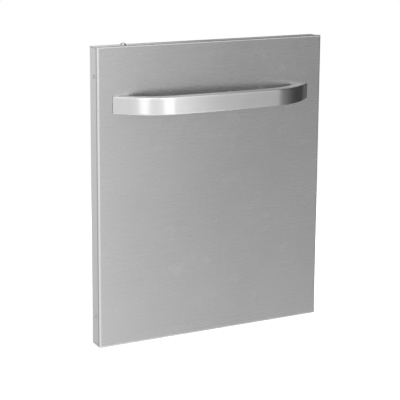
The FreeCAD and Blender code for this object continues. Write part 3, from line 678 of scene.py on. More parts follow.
def settle_normals(mesh: bpy.types.Mesh) -> bpy.types.Mesh:
    """Smooth shading in which large flat faces stay flat.

    Args:
        mesh: The mesh.

    Returns:
        A mesh with its own corner normals.
    """
    mesh.polygons.foreach_set("use_smooth", [True] * len(mesh.polygons))
    mesh.set_sharp_from_angle(angle=SHARP_ANGLE)
    helper = scene_object("helper", mesh)
    weigh = helper.modifiers.new("weigh", "WEIGHTED_NORMAL")
    weigh.weight = 100
    weigh.keep_sharp = True
    return apply_modifiers(helper)


def refined(node: bpy.types.Object, edge: float) -> bpy.types.Mesh:
    """Finer copy of a node's solid.

    Args:
        node: The node's object.
        edge: Width of the rounding that sharp edges get.

    Returns:
        A mesh with its flat faces joined and its sharp edges rounded and marked as worn.
    """
    shape = bmesh.new()
    shape.from_mesh(node.data)
    worn = shape.faces.layers.float.new(WORN_AND_HIGHLIT)
    bmesh.ops.remove_doubles(shape, verts=shape.verts, dist=MERGE)
    bmesh.ops.dissolve_limit(shape, angle_limit=FLAT_ANGLE, verts=shape.verts, edges=shape.edges)
    sharp = [item for item in shape.edges if item.is_manifold and item.calc_face_angle() > ROUNDED_ANGLE]
    made = bmesh.ops.bevel(shape, geom=sharp, offset=edge, segments=2, profile=0.5, affect="EDGES",
                           clamp_overlap=True)
    for face in made["faces"]:
        face[worn] = 1.0
    mesh = bpy.data.meshes.new(node.name)
    shape.to_mesh(mesh)
    shape.free()
    return settle_normals(mesh)


def carved(mesh: bpy.types.Mesh, cutter: bpy.types.Mesh) -> bpy.types.Mesh:
    """Mesh less a cutter.

    Args:
        mesh: The mesh that is cut.
        cutter: What is taken out of it.

    Returns:
        The result.
    """
    body = scene_object("helper_body", mesh)
    tool = scene_object("helper_tool", cutter)
    modifier = body.modifiers.new("cut", "BOOLEAN")
    modifier.operation = "DIFFERENCE"
    modifier.solver = "EXACT"
    modifier.object = tool
    result = apply_modifiers(body)
    drop(tool)
    return result


class Recipe(Graph):
    """Geometry Nodes tree with named inputs, run once to make a plain mesh."""

    def __init__(self, name: str, inputs: Mapping[str, str]) -> None:
        """Starts the tree.

        Args:
            name: The tree's name.
            inputs: Name and type of each input between the geometry and the material.
        """
        super().__init__(bpy.data.node_groups.new(name, "GeometryNodeTree"))
        self.tree.interface.new_socket("Geometry", in_out="OUTPUT", socket_type="NodeSocketGeometry")
        self.identifiers: dict[str, str] = {}
        for title, kind in {"Geometry": "Geometry", **inputs, "Material": "Material"}.items():
            made = self.tree.interface.new_socket(title, in_out="INPUT", socket_type="NodeSocket" + kind)
            self.identifiers[title] = made.identifier
        self.entry = self.add("NodeGroupInput", {}, {}, "Geometry")

    def input(self, title: str) -> Shade:
        """Named input of the tree."""
        return self.entry.other(title)

    def close(self, geometry: Shade) -> None:
        """Ends the tree.

        Args:
            geometry: What the tree makes. Its instances become real and it gets the material.
        """
        real = self.add("GeometryNodeRealizeInstances", {}, {"Geometry": geometry})
        smooth = self.add("GeometryNodeSetShadeSmooth", {}, {"Geometry": real})
        dressed = self.add("GeometryNodeSetMaterial", {},
                           {"Geometry": smooth, "Material": self.input("Material")})
        self.end("NodeGroupOutput", dressed)

    def run(self, data: bpy.types.ID, values: Mapping[str, Any]) -> bpy.types.Mesh:
        """Runs the tree.

        Args:
            data: Mesh or curve that goes in.
            values: The other inputs.

        Returns:
            The plain mesh that comes out.
        """
        helper = scene_object("helper", data)
        modifier = helper.modifiers.new("recipe", "NODES")
        modifier.node_group = self.tree
        for title, given in values.items():
            modifier[self.identifiers[title]] = given
        return apply_modifiers(helper)


class RowRecipe(Recipe):
    """Row of copies of one small part, each turned by chance about its own axis."""

    def __init__(self) -> None:
        """Builds the tree."""
        super().__init__("row_of_copies", {
            "Count": "Int", "Step": "Vector", "Turn": "Vector", "Place": "Vector", "Seed": "Int"})
        line = self.add("GeometryNodeMeshLine", {"mode": "OFFSET"},
                        {"Count": self.input("Count"), "Offset": self.input("Step")})
        chance = self.add("FunctionNodeRandomValue", {"data_type": "FLOAT"},
                          {"Min": 0.0, "Max": math.tau, "Seed": self.input("Seed")}, 1)
        copies = self.add("GeometryNodeInstanceOnPoints", {}, {
            "Points": line, "Instance": self.input("Geometry"), "Rotation": self.join(0.0, 0.0, chance)})
        placed = self.add("GeometryNodeTransform", {}, {
            "Geometry": copies, "Rotation": self.input("Turn"), "Translation": self.input("Place")})
        self.close(placed)


class TubeRecipe(Recipe):
    """Rectangular tube with rounded edges along a level path, its ends cut off by a flat wall."""

    EDGE_STEPS = 6

    def __init__(self) -> None:
        """Builds the tree."""
        sizes = ("Height", "Depth", "Rounding", "Wall", "Slope", "Middle", "Gap", "Neck")
        super().__init__("tube_along_path", dict.fromkeys(sizes, "Float"))
        length = self.add("GeometryNodeSplineParameter", {}, {}, "Length")
        path, along = self.captured(self.input("Geometry"), length)
        path = self.add("GeometryNodeSetCurveNormal", {"mode": "Z_UP"}, {"Curve": path})
        box = self.add("GeometryNodeCurvePrimitiveQuadrilateral", {"mode": "RECTANGLE"},
                       {"Width": self.input("Depth"), "Height": self.input("Height")})
        section = self.add("GeometryNodeFilletCurve", {"mode": "POLY"}, {
            "Curve": box, "Count": self.EDGE_STEPS, "Radius": self.input("Rounding"), "Limit Radius": True})
        deep, high, _ = self.split(self.add("GeometryNodeInputPosition"))
        section, across = self.captured(section, deep + high)
        inset_deep = abs(deep) - self.input("Depth") / 2.0 + self.input("Rounding")
        inset_high = abs(high) - self.input("Height") / 2.0 + self.input("Rounding")
        bend = inset_deep.maths("MINIMUM", inset_high) / self.input("Rounding")
        section, worn = self.captured(section, bend.fade(0.02, 0.25))
        tube = self.add("GeometryNodeCurveToMesh", {},
                        {"Curve": path, "Profile Curve": section, "Fill Caps": True})
        mapped = self.add("GeometryNodeStoreNamedAttribute", {"data_type": "FLOAT2", "domain": "CORNER"}, {
            "Geometry": self.cut_flush(tube), "Name": GRAIN_MAP, "Value": self.join(along, across, 0.0)})
        marked = self.add("GeometryNodeStoreNamedAttribute", {"data_type": "FLOAT", "domain": "POINT"}, {
            "Geometry": mapped, "Name": WORN_AND_HIGHLIT, "Value": worn})
        self.close(marked)

    def captured(self, geometry: Shade, given: Shade) -> tuple[Shade, Shade]:
        """Value that a curve's points keep through the sweep.

        Args:
            geometry: The curve.
            given: The value.

        Returns:
            The curve, and the value as its points carry it.
        """
        node = self.tree.nodes.new("GeometryNodeCaptureAttribute")
        node.capture_items.new("FLOAT", "Kept")
        self.tree.links.new(geometry.socket, node.inputs["Geometry"])
        self.tree.links.new(given.socket, node.inputs["Kept"])
        return Shade(self, node.outputs["Geometry"]), Shade(self, node.outputs["Kept"])

    def cut_flush(self, tube: Shade) -> Shade:
        """Slides the ends that pass the wall back along the legs until they meet it.

        Args:
            tube: The swept tube.

        Returns:
            The tube with flat feet, which narrow to a shadow gap where they meet the wall.
        """
        across, deep, _ = self.split(self.add("GeometryNodeInputPosition"))
        limit = self.input("Wall") - self.input("Gap")
        excess = (deep - limit).maths("MAXIMUM", 0.0)
        outward = (across - self.input("Middle")).maths("SIGN")
        back = self.join(-(excess * outward) / self.input("Slope").maths("TANGENT"), -excess, 0.0)
        moved = self.add("GeometryNodeSetPosition", {}, {"Geometry": tube, "Offset": back})
        merged = self.add("GeometryNodeMergeByDistance", {}, {"Geometry": moved, "Distance": MERGE})
        _, facing, _ = self.split(self.add("GeometryNodeInputNormal"))
        sole = self.add("GeometryNodeExtrudeMesh", {"mode": "FACES"}, {
            "Mesh": merged, "Selection": facing > 0.99, "Offset Scale": 0.0, "Individual": False}, "Mesh")
        inset = self.add("GeometryNodeScaleElements", {"domain": "FACE"}, {
            "Geometry": sole, "Selection": sole.other("Top"), "Scale": self.input("Neck")})
        return self.add("GeometryNodeExtrudeMesh", {"mode": "FACES"}, {
            "Mesh": inset, "Selection": sole.other("Top"), "Offset Scale": self.input("Gap"),
            "Individual": False}, "Mesh")


class CoilRecipe(Recipe):
    """Coil of round wire about Z."""

    STEPS_IN_A_TURN = 24
    WIRE_FACETS = 10

    def __init__(self) -> None:
        """Builds the tree."""
        super().__init__("coil_of_wire", {
            **dict.fromkeys(("Turns", "Radius", "Height", "Wire"), "Float"), "Place": "Vector"})
        coil = self.add("GeometryNodeCurveSpiral", {}, {
            "Resolution": self.STEPS_IN_A_TURN, "Rotations": self.input("Turns"),
            "Start Radius": self.input("Radius"), "End Radius": self.input("Radius"),
            "Height": self.input("Height")})
        ring = self.add("GeometryNodeCurvePrimitiveCircle", {"mode": "RADIUS"},
                        {"Resolution": self.WIRE_FACETS, "Radius": self.input("Wire")})
        wire = self.add("GeometryNodeCurveToMesh", {},
                        {"Curve": coil, "Profile Curve": ring, "Fill Caps": True})
        placed = self.add("GeometryNodeTransform", {}, {"Geometry": wire, "Translation": self.input("Place")})
        self.close(placed)


class Workshop:
    """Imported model, with the finishes and the recipe that its sub-assemblies share."""

    def __init__(self, frame: Mapping[str, Any]) -> None:
        """Reads the frame and mixes the finishes.
        """
        self.nodes = frame["nodes"]
        self.slots = {row["node"]: row["material_slot"] for row in frame["record"]["subparts"]}
        self.bodies = {node: body for body, nodes in frame["record"]["behaviour"]["bodies"].items()
                       for node in nodes}
        self.materials = {finish.name: finish.material() for finish in FINISHES}
        self.row = RowRecipe()

    def material(self, node: str) -> bpy.types.Material:
        """Finish of a node."""
        return self.materials[self.slots[node]]

    def dress(self, *nodes: str) -> None:
        """Gives nodes that keep their solid their finish.

        Args:
            *nodes: The nodes.
        """
        for node in nodes:
            for slot in self.nodes[node].material_slots:
                slot.material = self.material(node)
            LOG.info("%s keeps its solid, in %s", node, self.slots[node])

    def seat(self, mesh: bpy.types.Mesh, name: str, *nodes: str) -> bpy.types.Object:
        """Puts a finished piece in the place of the nodes that it stands for.

        Args:
            mesh: The piece's mesh, in the frame's place.
            name: The piece's name.
            *nodes: The nodes, all on one body and of one finish.

        Returns:
            The piece.
        """
        if not mesh.materials:
            mesh.materials.append(self.material(nodes[0]))
        piece = scene_object(name, mesh)
        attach(piece, self.bodies[nodes[0]])
        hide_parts(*nodes)
        LOG.info("%s stands for %s with %d faces", name, ", ".join(nodes), len(mesh.polygons))
        return piece

    def refine(self, edge: float, *nodes: str) -> None:
        """Seats finer copies of nodes' solids, their edges rounded by a width."""
        for node in nodes:
            self.seat(refined(self.nodes[node], edge), node + "_finished", node)


@dataclass
class DoorShell:
    """Front skin and rear pan."""

    shop: Workshop
    sheet: float = 1.2 * MM
    bend: float = 3 * MM
    corner: float = 0.5 * MM
    lip: float = 0.3 * MM
    hold: float = 1 * MM
    pan_edge: float = 0.22 * MM
    # Painted highlight on top of the bends' wear, and a lighter painted shade on the level folds than on the
    # upright ones.
    upright_wear_and_highlight: float = 2.0
    level_wear_and_highlight: float = 1.1
    level_fold_shade: float = 0.25
    outer_steps: int = 10
    inner_steps: int = 8
    lip_steps: int = 3
    corner_steps: int = 4

    def build(self) -> None:
        """Makes both pieces."""
        self.shop.seat(settle_normals(self.skin_mesh()), "front_skin_folded", "front_skin")
        self.shop.refine(self.pan_edge, "rear_pan")

    def ring(self, inset: float, depth: float) -> list[Vector]:
        """Rounded rectangle parallel to the face.

        Args:
            inset: Distance inside the skin's outline.
            depth: Distance behind the face.

        Returns:
            Its points, the same number at each corner.
        """
        low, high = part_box("front_skin")
        middle = (low + high) / 2
        half_width = (high.x - low.x) / 2 - inset - self.corner
        half_height = (high.z - low.z) / 2 - inset - self.corner
        points = []
        for quarter, (across, up) in enumerate(((1, 1), (-1, 1), (-1, -1), (1, -1))):
            centre = (middle.x + across * half_width, middle.z + up * half_height)
            start = 90 * quarter
            points += arc(centre, self.corner, start, start + 90, self.corner_steps)
        return [Vector((x, low.y + depth, z)) for x, z in points]

    def profile(self, reach: float) -> list[Point]:
        """Section of a folded side, from the face's outside round the lip to its inside.

        Args:
            reach: Depth of the fold.

        Returns:
            Inset and depth of each point.
        """
        back = reach - self.lip
        points = [(self.bend + self.hold, 0.0)]
        points += arc((self.bend, self.bend), self.bend, 270, 180, self.outer_steps)
        points.append((0.0, self.bend + self.lip))
        points += arc((self.lip, back), self.lip, 180, 90, self.lip_steps)
        points += arc((self.sheet - self.lip, back), self.lip, 90, 0, self.lip_steps)
        points += arc((self.bend, self.bend), self.bend - self.sheet, 180, 270, self.inner_steps)
        return [*points, (self.bend + self.hold, self.sheet)]

    def skin_mesh(self) -> bpy.types.Mesh:
        """Flat sheet folded back on four sides, with rounded lips.

        Returns:
            The mesh, marked where its bends get wear with a painted highlight and where its folds get painted
            shade.
        """
        low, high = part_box("front_skin")
        rings = [self.ring(inset, depth) for inset, depth in self.profile(high.y - low.y)]
        mesh = loft("front_skin_folded", rings)

        def insets(point: Vector) -> Point:
            """Distances inside the nearest upright side and the nearest level one."""
            return min(point.x - low.x, high.x - point.x), min(point.z - low.z, high.z - point.z)

        def worn(point: Vector) -> float:
            """Wear of the outer side of the bends, with a painted highlight on top, most along the middle of
            the upright ones.

            Args:
                point: A place on the skin.

            Returns:
                How much wear and painted highlight it gets there.
            """
            upright, level = insets(point)
            to_side = self.bend - min(upright, level)
            to_face = self.bend - (point.y - low.y)
            outside = math.hypot(to_side, to_face) > self.bend - self.sheet / 2
            if min(to_side, to_face) < 0 or not outside:
                return 0.0
            worn_and_highlit = self.upright_wear_and_highlight if upright < level else self.level_wear_and_highlight
            return worn_and_highlit * to_side * to_face / self.bend ** 2

        def fold_shade(point: Vector) -> float:
            """Share of painted shade on the outer side of the folds, most on the upright sides, standing in
            for the shade where the skin's fold meets the pan.

            Args:
                point: A place on the skin.

            Returns:
                The share there.
            """
            upright, level = insets(point)
            folded = min(upright, level) < self.lip / 2 and point.y - low.y > self.bend + MERGE
            return (1.0 if upright < level else self.level_fold_shade) if folded else 0.0

        mark(mesh, WORN_AND_HIGHLIT, worn)
        mark(mesh, SHADED_FOLD, fold_shade)
        return mesh


@dataclass
class InnerFrame:
    """Channels and rails between the skin and the pan."""

    shop: Workshop

    def build(self) -> None:
        """Dresses the four pieces."""
        self.shop.dress("latch_side_channel", "hinge_side_channel", "top_rail", "bottom_rail")


@dataclass
class TubePull:
    """Bowed rectangular tube that stands on the door's face, with the parts that hold it."""

    shop: Workshop
    depth: float = 24 * MM
    rounding: float = 3 * MM
    bow: float = 1900 * MM
    bend: float = 137 * MM
    slope: float = math.radians(44)
    past: float = 16 * MM
    gap: float = 0.9 * MM
    neck: float = 0.94
    half_bow_steps: int = 20
    bend_steps: int = 28

    def build(self) -> None:
        """Makes the tube and dresses what is behind the face."""
        low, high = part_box("handle_bar")
        mesh = TubeRecipe().run(self.path_curve(), {
            "Height": high.z - low.z, "Depth": self.depth, "Rounding": self.rounding, "Wall": high.y,
            "Slope": self.slope, "Middle": (low.x + high.x) / 2, "Gap": self.gap, "Neck": self.neck,
            "Material": self.shop.material("handle_bar")})
        self.shop.seat(settle_normals(mesh), "handle_tube", "handle_bar")
        self.shop.dress("handle_blocks", "handle_studs", "handle_plate_left", "handle_plate_right",
                        "handle_washers", "handle_nuts")

    def turn_of_bow(self) -> float:
        """Angle of the bow from its middle to the start of an end bend.

        Returns:
            The angle at which bow, bend and leg meet smoothly and the tube has its length and depth.
        """
        low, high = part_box("handle_bar")
        half_length = (high.x - low.x) / 2
        standoff = high.y - low.y
        reach = half_length * math.sin(self.slope) + (self.bow - standoff) * math.cos(self.slope) - self.bend
        return self.slope - math.acos(reach / (self.bow - self.bend))

    def half_path(self) -> list[Point]:
        """Middle line of the tube's right half.

        Returns:
            Distance from the middle, and distance behind the outer face, of each point.
        """
        low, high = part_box("handle_bar")
        centre = self.depth / 2
        turn = self.turn_of_bow()
        less = self.bow - self.bend
        bend_centre = (less * math.sin(turn), self.bow - less * math.cos(turn))
        joint = math.degrees(turn) - 90
        points = arc((0.0, self.bow), self.bow - centre, -90, joint, self.half_bow_steps)
        points += arc(bend_centre, self.bend - centre, joint, math.degrees(self.slope) - 90,
                      self.bend_steps)[1:]
        x, y = points[-1]
        over = (high.y - low.y - y) / math.sin(self.slope) + self.past
        return [*points, (x + over * math.cos(self.slope), y + over * math.sin(self.slope))]

    def path_curve(self) -> bpy.types.Curve:
        """Middle line of the whole tube.

        Returns:
            The line as a curve, in the frame's place.
        """
        low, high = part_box("handle_bar")
        middle = (low + high) / 2
        right = self.half_path()
        places = [(-x, y) for x, y in reversed(right[1:])] + right
        curve = bpy.data.curves.new("pull_path", "CURVE")
        curve.dimensions = "3D"
        spline = curve.splines.new("POLY")
        spline.points.add(len(places) - 1)
        for point, (x, y) in zip(spline.points, places):
            point.co = (middle.x + x, low.y + y, middle.z, 1.0)
        return curve


@dataclass
class SideScrews:
    """Dome-head screws with cross recesses in a side wall."""

    shop: Workshop
    side: Side
    head: float = 3.8 * MM
    rise: float = 2.2 * MM
    rim: float = 0.35 * MM
    bevel: float = 0.15 * MM
    shank: float = 2 * MM
    pitch: float = 0.7 * MM
    groove: float = 0.3 * MM
    recess: float = 2.1 * MM
    arm: float = 0.5 * MM
    levels: tuple[Point, ...] = ((1.15, 0.4 * MM), (1.0, -0.3 * MM), (0.45, -1.25 * MM))
    span: float = 490 * MM
    facets: int = 48
    seed: int = 4

    def build(self) -> None:
        """Makes the two screws and dresses their nuts."""
        label = self.side.name.lower()
        node = f"side_screws_{label}"
        low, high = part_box(node)
        reach = high.x - low.x
        out = self.side.value
        seat_x = (high.x if out > 0 else low.x) - out * self.rise
        place = Vector((seat_x, (low.y + high.y) / 2, out * self.span / 2))
        mesh = self.shop.row.run(self.screw_mesh(reach - self.rise), {
            "Count": 2, "Step": (self.span, 0.0, 0.0), "Turn": (0.0, out * QUARTER, 0.0),
            "Place": place, "Seed": self.seed + out, "Material": self.shop.material(node)})
        self.shop.seat(settle_normals(mesh), node + "_turned", node)
        self.shop.dress(f"side_nuts_{label}")

    def screw_mesh(self, length: float) -> bpy.types.Mesh:
        """One screw, head up, with its seat at height 0.

        Args:
            length: Length of the shank.

        Returns:
            The mesh.
        """
        crown = dome(self.head, self.rise - self.rim, range(0, 91, 10))
        profile = [(radius, self.rim + height) for radius, height in crown]
        profile += [(self.head, self.rim), (self.head - self.bevel, 0.0), (self.shank, 0.0)]
        profile += self.thread_profile(length)
        screw = carved(turned("screw", profile, self.facets), self.recess_mesh())
        keep_local(screw)
        return screw

    def thread_profile(self, length: float) -> list[Point]:
        """Thread of the shank as fine grooves.

        Args:
            length: Length of the shank.

        Returns:
            Radius and height of its points, down to its closed end.
        """
        root = self.shank - self.groove
        one_turn = ((self.shank, 0.3), (root, 0.6), (self.shank, 0.9))
        points = []
        for number in range(int((length - self.pitch) / self.pitch)):
            start = -number * self.pitch
            points += [(radius, start - share * self.pitch) for radius, share in one_turn]
        return [*points, (root, -length), (0.0, -length)]

    def recess_mesh(self) -> bpy.types.Mesh:
        """Cross that tapers towards its bottom.

        Returns:
            The cutter, from a level over the head's top to the bottom of the recess.
        """
        rings = []
        for grow, height in self.levels:
            long, short = self.recess * grow, self.arm * (0.6 + 0.4 * grow)
            corners = ((long, short), (short, short), (short, long), (-short, long), (-short, short),
                       (-long, short), (-long, -short), (-short, -short), (-short, -long),
                       (short, -long), (short, -short), (long, -short))
            rings.append([Vector((x, y, self.rise + height)) for x, y in corners])
        return loft("recess", rings)


@dataclass(frozen=True)
class BlindRivet:
    """Set rivet with its mandrel broken off inside the head."""

    head: float = 3.8 * MM
    rise: float = 1.2 * MM
    lip: float = 0.12 * MM
    hole: float = 1.15 * MM
    stub: float = 0.54 * MM
    stub_dome: float = 0.08 * MM
    stub_share: float = 0.72
    well: float = 0.4 * MM
    well_share: float = 0.86
    shank: float = 2 * MM
    tail: float = 2.9 * MM
    tail_height: float = 2.6 * MM
    tail_side: float = 1.3 * MM
    tail_edge: float = 0.25 * MM
    tail_share: float = 0.86
    end_share: float = 0.8
    facets: int = 40

    def mesh(self, grip: float) -> bpy.types.Mesh:
        """One rivet, head up, with its seat at height 0.

        Args:
            grip: Length from the head's seat to the set end.

        Returns:
            The mesh.
        """
        crown = dome(self.head, self.rise, range(18, 90, 8), power=0.8)
        well = self.stub - self.well
        bulb = self.tail_height - grip
        rivet = turned("rivet", [
            (0.0, self.stub), (self.hole * self.stub_share, self.stub - self.stub_dome),
            (self.hole * self.well_share, well), (self.hole, well), (self.hole, crown[0][1] - self.lip),
            *crown[1:], (self.head, self.lip), (self.head - self.lip, 0.0), (self.shank, 0.0),
            (self.shank, bulb), (self.tail, bulb), (self.tail, bulb - self.tail_side),
            (self.tail * self.tail_share, self.tail_edge - grip), (self.shank * self.end_share, -grip),
            (0.0, -grip)], self.facets)
        keep_local(rivet)
        return rivet


@dataclass
class ContinuousHinge:
    """Leaves with their rows of knuckles, the pin and the rivets."""

    shop: Workshop
    edge: float = 0.18 * MM
    rivet: BlindRivet = BlindRivet()
    count: int = 7
    pitch: float = 90 * MM
    seed: int = 11

    def build(self) -> None:
        """Makes the hinge's pieces."""
        self.shop.refine(self.edge, "hinge_frame_leaf", "hinge_door_leaf", "hinge_pin")
        low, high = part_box("hinge_rivets")
        seat = high.y - self.rivet.rise
        place = Vector(((low.x + high.x) / 2, seat, (low.z + high.z) / 2))
        place.z -= (self.count - 1) * self.pitch / 2
        mesh = self.shop.row.run(self.rivet.mesh(high.y - low.y - self.rivet.rise), {
            "Count": self.count, "Step": (0.0, -self.pitch, 0.0), "Turn": (-QUARTER, 0.0, 0.0),
            "Place": place, "Seed": self.seed, "Material": self.shop.material("hinge_rivets")})
        self.shop.seat(settle_normals(mesh), "hinge_rivets_set", "hinge_rivets")


@dataclass
class BallCatch:
    """Barrel with its collar, the ball, the spring under it and the parts that set them."""

    shop: Workshop
    wire: float = 0.45 * MM
    turns: float = 7.0
    travel: float = 1.9 * MM
    edge: float = 0.12 * MM

    def build(self) -> None:
        """Makes the catch's pieces."""
        self.shop.refine(self.edge, "catch_barrel", "catch_adjuster", "catch_nut")
        self.shop.dress("catch_ball")
        self.build_spring()

    def build_spring(self) -> None:
        """Makes the spring."""
        low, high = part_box("catch_spring")
        middle = (low + high) / 2
        length = high.z - low.z
        mesh = CoilRecipe().run(bpy.data.meshes.new("coil"), {
            "Turns": self.turns, "Radius": (high.x - low.x) / 2 - self.wire,
            "Height": length - 2 * self.wire, "Wire": self.wire,
            "Place": Vector((middle.x, middle.y, low.z + self.wire)),
            "Material": self.shop.material("catch_spring")})
        piece = self.shop.seat(mesh, "catch_spring_coil", "catch_spring")
        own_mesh(piece)


@dataclass
class Bumper:
    """Push-in rubber bumper behind the latch side."""

    shop: Workshop
    node: str
    radius: float = 8 * MM
    tip: float = 5 * MM
    side: float = 2 * MM
    soft: float = 0.5 * MM
    dimple: float = 0.35 * MM
    dimple_edge: float = 0.3 * MM
    dimple_shares: Point = (0.55, 0.72)
    foot_edge: float = 0.12 * MM
    foot_share: float = 0.7
    neck: float = 3 * MM
    sheet: float = 1 * MM
    barb: float = 4.2 * MM
    barb_edge: float = 0.2 * MM
    barb_end: float = 1.2 * MM
    point: float = 1.5 * MM
    facets: int = 64

    def build(self) -> None:
        """Makes the bumper."""
        low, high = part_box(self.node)
        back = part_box("rear_pan")[1].y
        mesh = turned(self.node, self.profile(high.y - back, low.y - back), self.facets)
        keep_local(mesh)
        middle = (low + high) / 2
        mesh.transform(Matrix.Translation((middle.x, back, middle.z)) @ Matrix.Rotation(-QUARTER, 4, "X"))
        self.shop.seat(settle_normals(mesh), self.node + "_moulded", self.node)

    def profile(self, reach: float, foot: float) -> list[Point]:
        """Outline of the bumper.

        Args:
            reach: Height of its tip over the sheet.
            foot: Height of its inner end, below the sheet.

        Returns:
            Radius and height of its points, from the tip's middle to the inner end.
        """
        soft = self.soft
        inner, outer = (self.tip * share for share in self.dimple_shares)
        return [
            (0.0, reach - self.dimple), (inner, reach - self.dimple_edge), (outer, reach),
            *arc((self.tip - soft, reach - soft), soft, 90, 25, 4),
            *arc((self.radius - soft, self.side), soft, 25, -10, 4),
            (self.radius - self.foot_edge, soft / 2), (self.radius - soft * self.foot_share, 0.0),
            (self.neck, 0.0), (self.neck, -self.sheet), (self.barb - self.barb_edge, -self.sheet),
            (self.barb, -self.sheet - self.barb_edge), (self.barb, -self.sheet - self.barb_end),
            (self.point, foot), (0.0, foot),
        ]


@dataclass(frozen=True)
class Span:
    """Stretch of angles, in degrees, with soft ends."""

    start: float
    full: float
    last: float
    end: float

    def share(self, angle: Shade) -> Shade:
        """Smooth value that is 1 inside the stretch and 0 outside it."""
        return angle.fade(self.start, self.full) * angle.fade(self.end, self.last)


# Soft ends that lie past every angle, so that a span is open on that side.
FROM_FIRST = (-182, -181)
TO_LAST = (181, 182)

TALL = Span(-4, 12, 52, 70)
SCREEN = Span(-74, -58, 45, 62)
RAISED = Span(16, 30, 60, 75)


@dataclass(frozen=True)
class LightPatch:
    """Part of the studio's surroundings that is lighter or darker than the rest.

    Headings are counted from the door's front towards its hinge side, and heights upwards.
    """

    headings: Span
    heights: Span
    change: float

    def factor(self, heading: Shade, height: Shade) -> Shade:
        """What the patch multiplies the light by in one direction."""
        return 1.0 + self.headings.share(heading) * self.heights.share(height) * self.change


PATCHES: tuple[LightPatch, ...] = (
    # Two tall lamps that the pull's left bend mirrors, and the cards that light its bow.
    LightPatch(Span(-46, -40, -30, -24), TALL, 1.95),
    LightPatch(Span(-5, 4, 12, 20), TALL, 1.85),
    LightPatch(Span(20, 29, 40, 48), Span(5, 16, 30, 44), 1.5),
    LightPatch(Span(31, 38, 42, 50), Span(-12, 2, 26, 42), 0.8),
    # Cards below eye level that set the tones across the face, and dark ground beside them.
    LightPatch(Span(2, 12, 19, 27), Span(-46, -30, -8, 8), 0.72),
    LightPatch(Span(10, 18, 26, 34), Span(-60, -45, -13, -6), -0.3),
    LightPatch(Span(26, 34, 40, 46), Span(-60, -45, 0, 8), -0.12),
    LightPatch(Span(20, 28, 42, 52), Span(-80, -66, -50, -37), 1.6),
    LightPatch(Span(2, 20, 120, 140), Span(*FROM_FIRST, -55, -38), -0.25),
    LightPatch(Span(-70, -50, 44, 70), Span(*FROM_FIRST, -40, -26), 0.3),
    # Dark screens on the hinge side, which darken the pull's right bend.
    LightPatch(Span(15, 32, 128, 141), Span(-30, -6, 30, 42), -0.72),
    LightPatch(Span(40, 52, 122, 136), SCREEN, -0.4),
    LightPatch(Span(48, 86, 122, 136), SCREEN, -0.72),
    # What stands behind the door, as its top wall and its side walls mirror it.
    LightPatch(Span(118, 135, 146, 162), Span(-4, 6, 55, 75), -0.75),
    LightPatch(Span(150, 164, 168, 180), Span(-4, 6, 40, 60), 0.3),
    LightPatch(Span(*FROM_FIRST, -110, -90), Span(*FROM_FIRST, -20, -6), -0.2),
    LightPatch(Span(*FROM_FIRST, -120, -95), RAISED, -0.8),
    LightPatch(Span(160, 178, *TO_LAST), RAISED, -0.8),
    # Ceiling, bright over the latch side and the front and dark over the hinge side.
    LightPatch(Span(-170, -150, -40, -10), Span(34, 50, *TO_LAST), -0.45),
    LightPatch(Span(*FROM_FIRST, 52, 74), Span(46, 58, *TO_LAST), 1.1),
    LightPatch(Span(42, 64, 150, 165), Span(30, 45, *TO_LAST), -0.6),
)


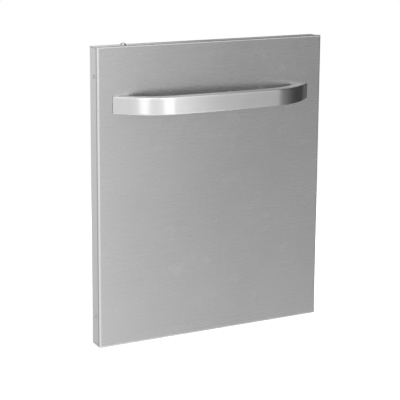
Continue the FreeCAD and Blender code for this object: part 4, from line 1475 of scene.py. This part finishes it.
@dataclass(frozen=True)
class Studio:
    """Soft light, pale floor and the camera."""

    wall: float = 0.9
    floor_radius: float = 1.6
    floor_steps: int = 96
    lamp_side: float = 3.0
    lamp_power: float = 110.0
    lamp_place: tuple[float, float, float] = (-0.3, -0.2, 2.4)
    position: tuple[float, float, float] = (-1.5143, -2.4037, 0.6174)
    heading: float = math.radians(27.842)
    pitch: float = math.radians(11.586)
    roll: float = math.radians(0.361)
    focal: float = 1332.7
    centre_row: float = 156.0

    def build(self) -> None:
        """Makes the studio."""
        self.light_world()
        self.lay_floor()
        self.hang_lamp()
        self.set_camera()
        bpy.context.scene.view_settings.view_transform = "Standard"

    def light_world(self) -> None:
        """Wall of light round the object, plain white where the camera looks past it."""
        world = bpy.data.worlds.new("studio")
        world.use_nodes = True
        bpy.context.scene.world = world
        graph = Graph(world.node_tree)
        x, y, z = graph.split(graph.add("ShaderNodeTexCoord", {}, {}, "Generated"))
        heading = graph.maths("ARCTAN2", x, -y) * math.degrees(1)
        height = z.maths("ARCSINE") * math.degrees(1)
        light: float | Shade = self.wall
        for patch in PATCHES:
            light = patch.factor(heading, height) * light
        seen = graph.add("ShaderNodeLightPath", {}, {}, "Is Camera Ray")
        strength = seen + light * (1.0 - seen)
        graph.end("ShaderNodeOutputWorld", graph.add("ShaderNodeBackground", {}, {
            "Color": (1, 1, 1, 1), "Strength": strength}))

    def lay_floor(self) -> None:
        """Round pale floor that fades out at its rim."""
        low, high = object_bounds()
        middle = (low + high) / 2
        outline = arc((middle.x, middle.y), self.floor_radius, 0, 360, self.floor_steps)[:-1]
        mesh = bpy.data.meshes.new("floor")
        mesh.from_pydata([(x, y, low.z) for x, y in outline], [], [range(len(outline))])
        floor = scene_object("floor", mesh)
        floor.visible_glossy = False
        mesh.materials.append(self.floor_material(middle))
        floor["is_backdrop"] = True

    def floor_material(self, middle: Vector) -> bpy.types.Material:
        """Plain pale paint, clear at the rim.

        Args:
            middle: The floor's middle.

        Returns:
            The material.
        """
        graph = MaterialGraph("floor_paint")
        x, y, _ = graph.split(graph.place())
        away = ((x - middle.x) * (x - middle.x) + (y - middle.y) * (y - middle.y)).maths("SQRT")
        grain = graph.noise(graph.spread(40.0), detail=2.0, roughness=0.5)
        return graph.surface({
            "Base Color": graph.mix(grey(0.86), grey(0.9), grain),
            "Roughness": 0.8,
            "Alpha": away.fade(self.floor_radius * 0.98, self.floor_radius * 0.5),
        })

    def hang_lamp(self) -> None:
        """Large soft lamp overhead that the steel doesn't mirror."""
        lamp = bpy.data.lights.new("overhead", "AREA")
        lamp.shape = "SQUARE"
        lamp.size = self.lamp_side
        lamp.energy = self.lamp_power
        item = scene_object("overhead", lamp)
        item.location = self.lamp_place
        item.visible_glossy = False

    def set_camera(self) -> None:
        """Camera at the photograph's place, turned and framed as it was."""
        data = bpy.data.cameras.new("camera")
        data.lens = self.focal * data.sensor_width / PHOTO_SIDE
        data.shift_y = (self.centre_row - PHOTO_SIDE / 2) / PHOTO_SIDE
        forward = Vector((math.sin(self.heading) * math.cos(self.pitch),
                          math.cos(self.heading) * math.cos(self.pitch), -math.sin(self.pitch)))
        level = Vector((math.cos(self.heading), -math.sin(self.heading), 0.0))
        upright = level.cross(forward)
        right = level * math.cos(self.roll) + upright * math.sin(self.roll)
        up = upright * math.cos(self.roll) - level * math.sin(self.roll)
        camera = scene_object("camera", data)
        turn = Matrix((right, up, -forward)).transposed()
        camera.matrix_world = Matrix.Translation(self.position) @ turn.to_4x4()
        bpy.context.scene.camera = camera


def main() -> None:
    """Builds the looks round the frame, one sub-assembly after another."""
    logging.basicConfig(level=logging.INFO, format="%(name)s: %(message)s")
    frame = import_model()
    bpy.context.view_layer.update()
    shop = Workshop(frame)
    Studio().build()
    parts = (
        DoorShell(shop), InnerFrame(shop), TubePull(shop), SideScrews(shop, Side.LATCH),
        SideScrews(shop, Side.HINGE), ContinuousHinge(shop), BallCatch(shop),
        Bumper(shop, "bumper_upper"), Bumper(shop, "bumper_lower"),
    )
    for part in parts:
        part.build()
    bpy.context.view_layer.update()


if __name__ == "__main__":
    main()
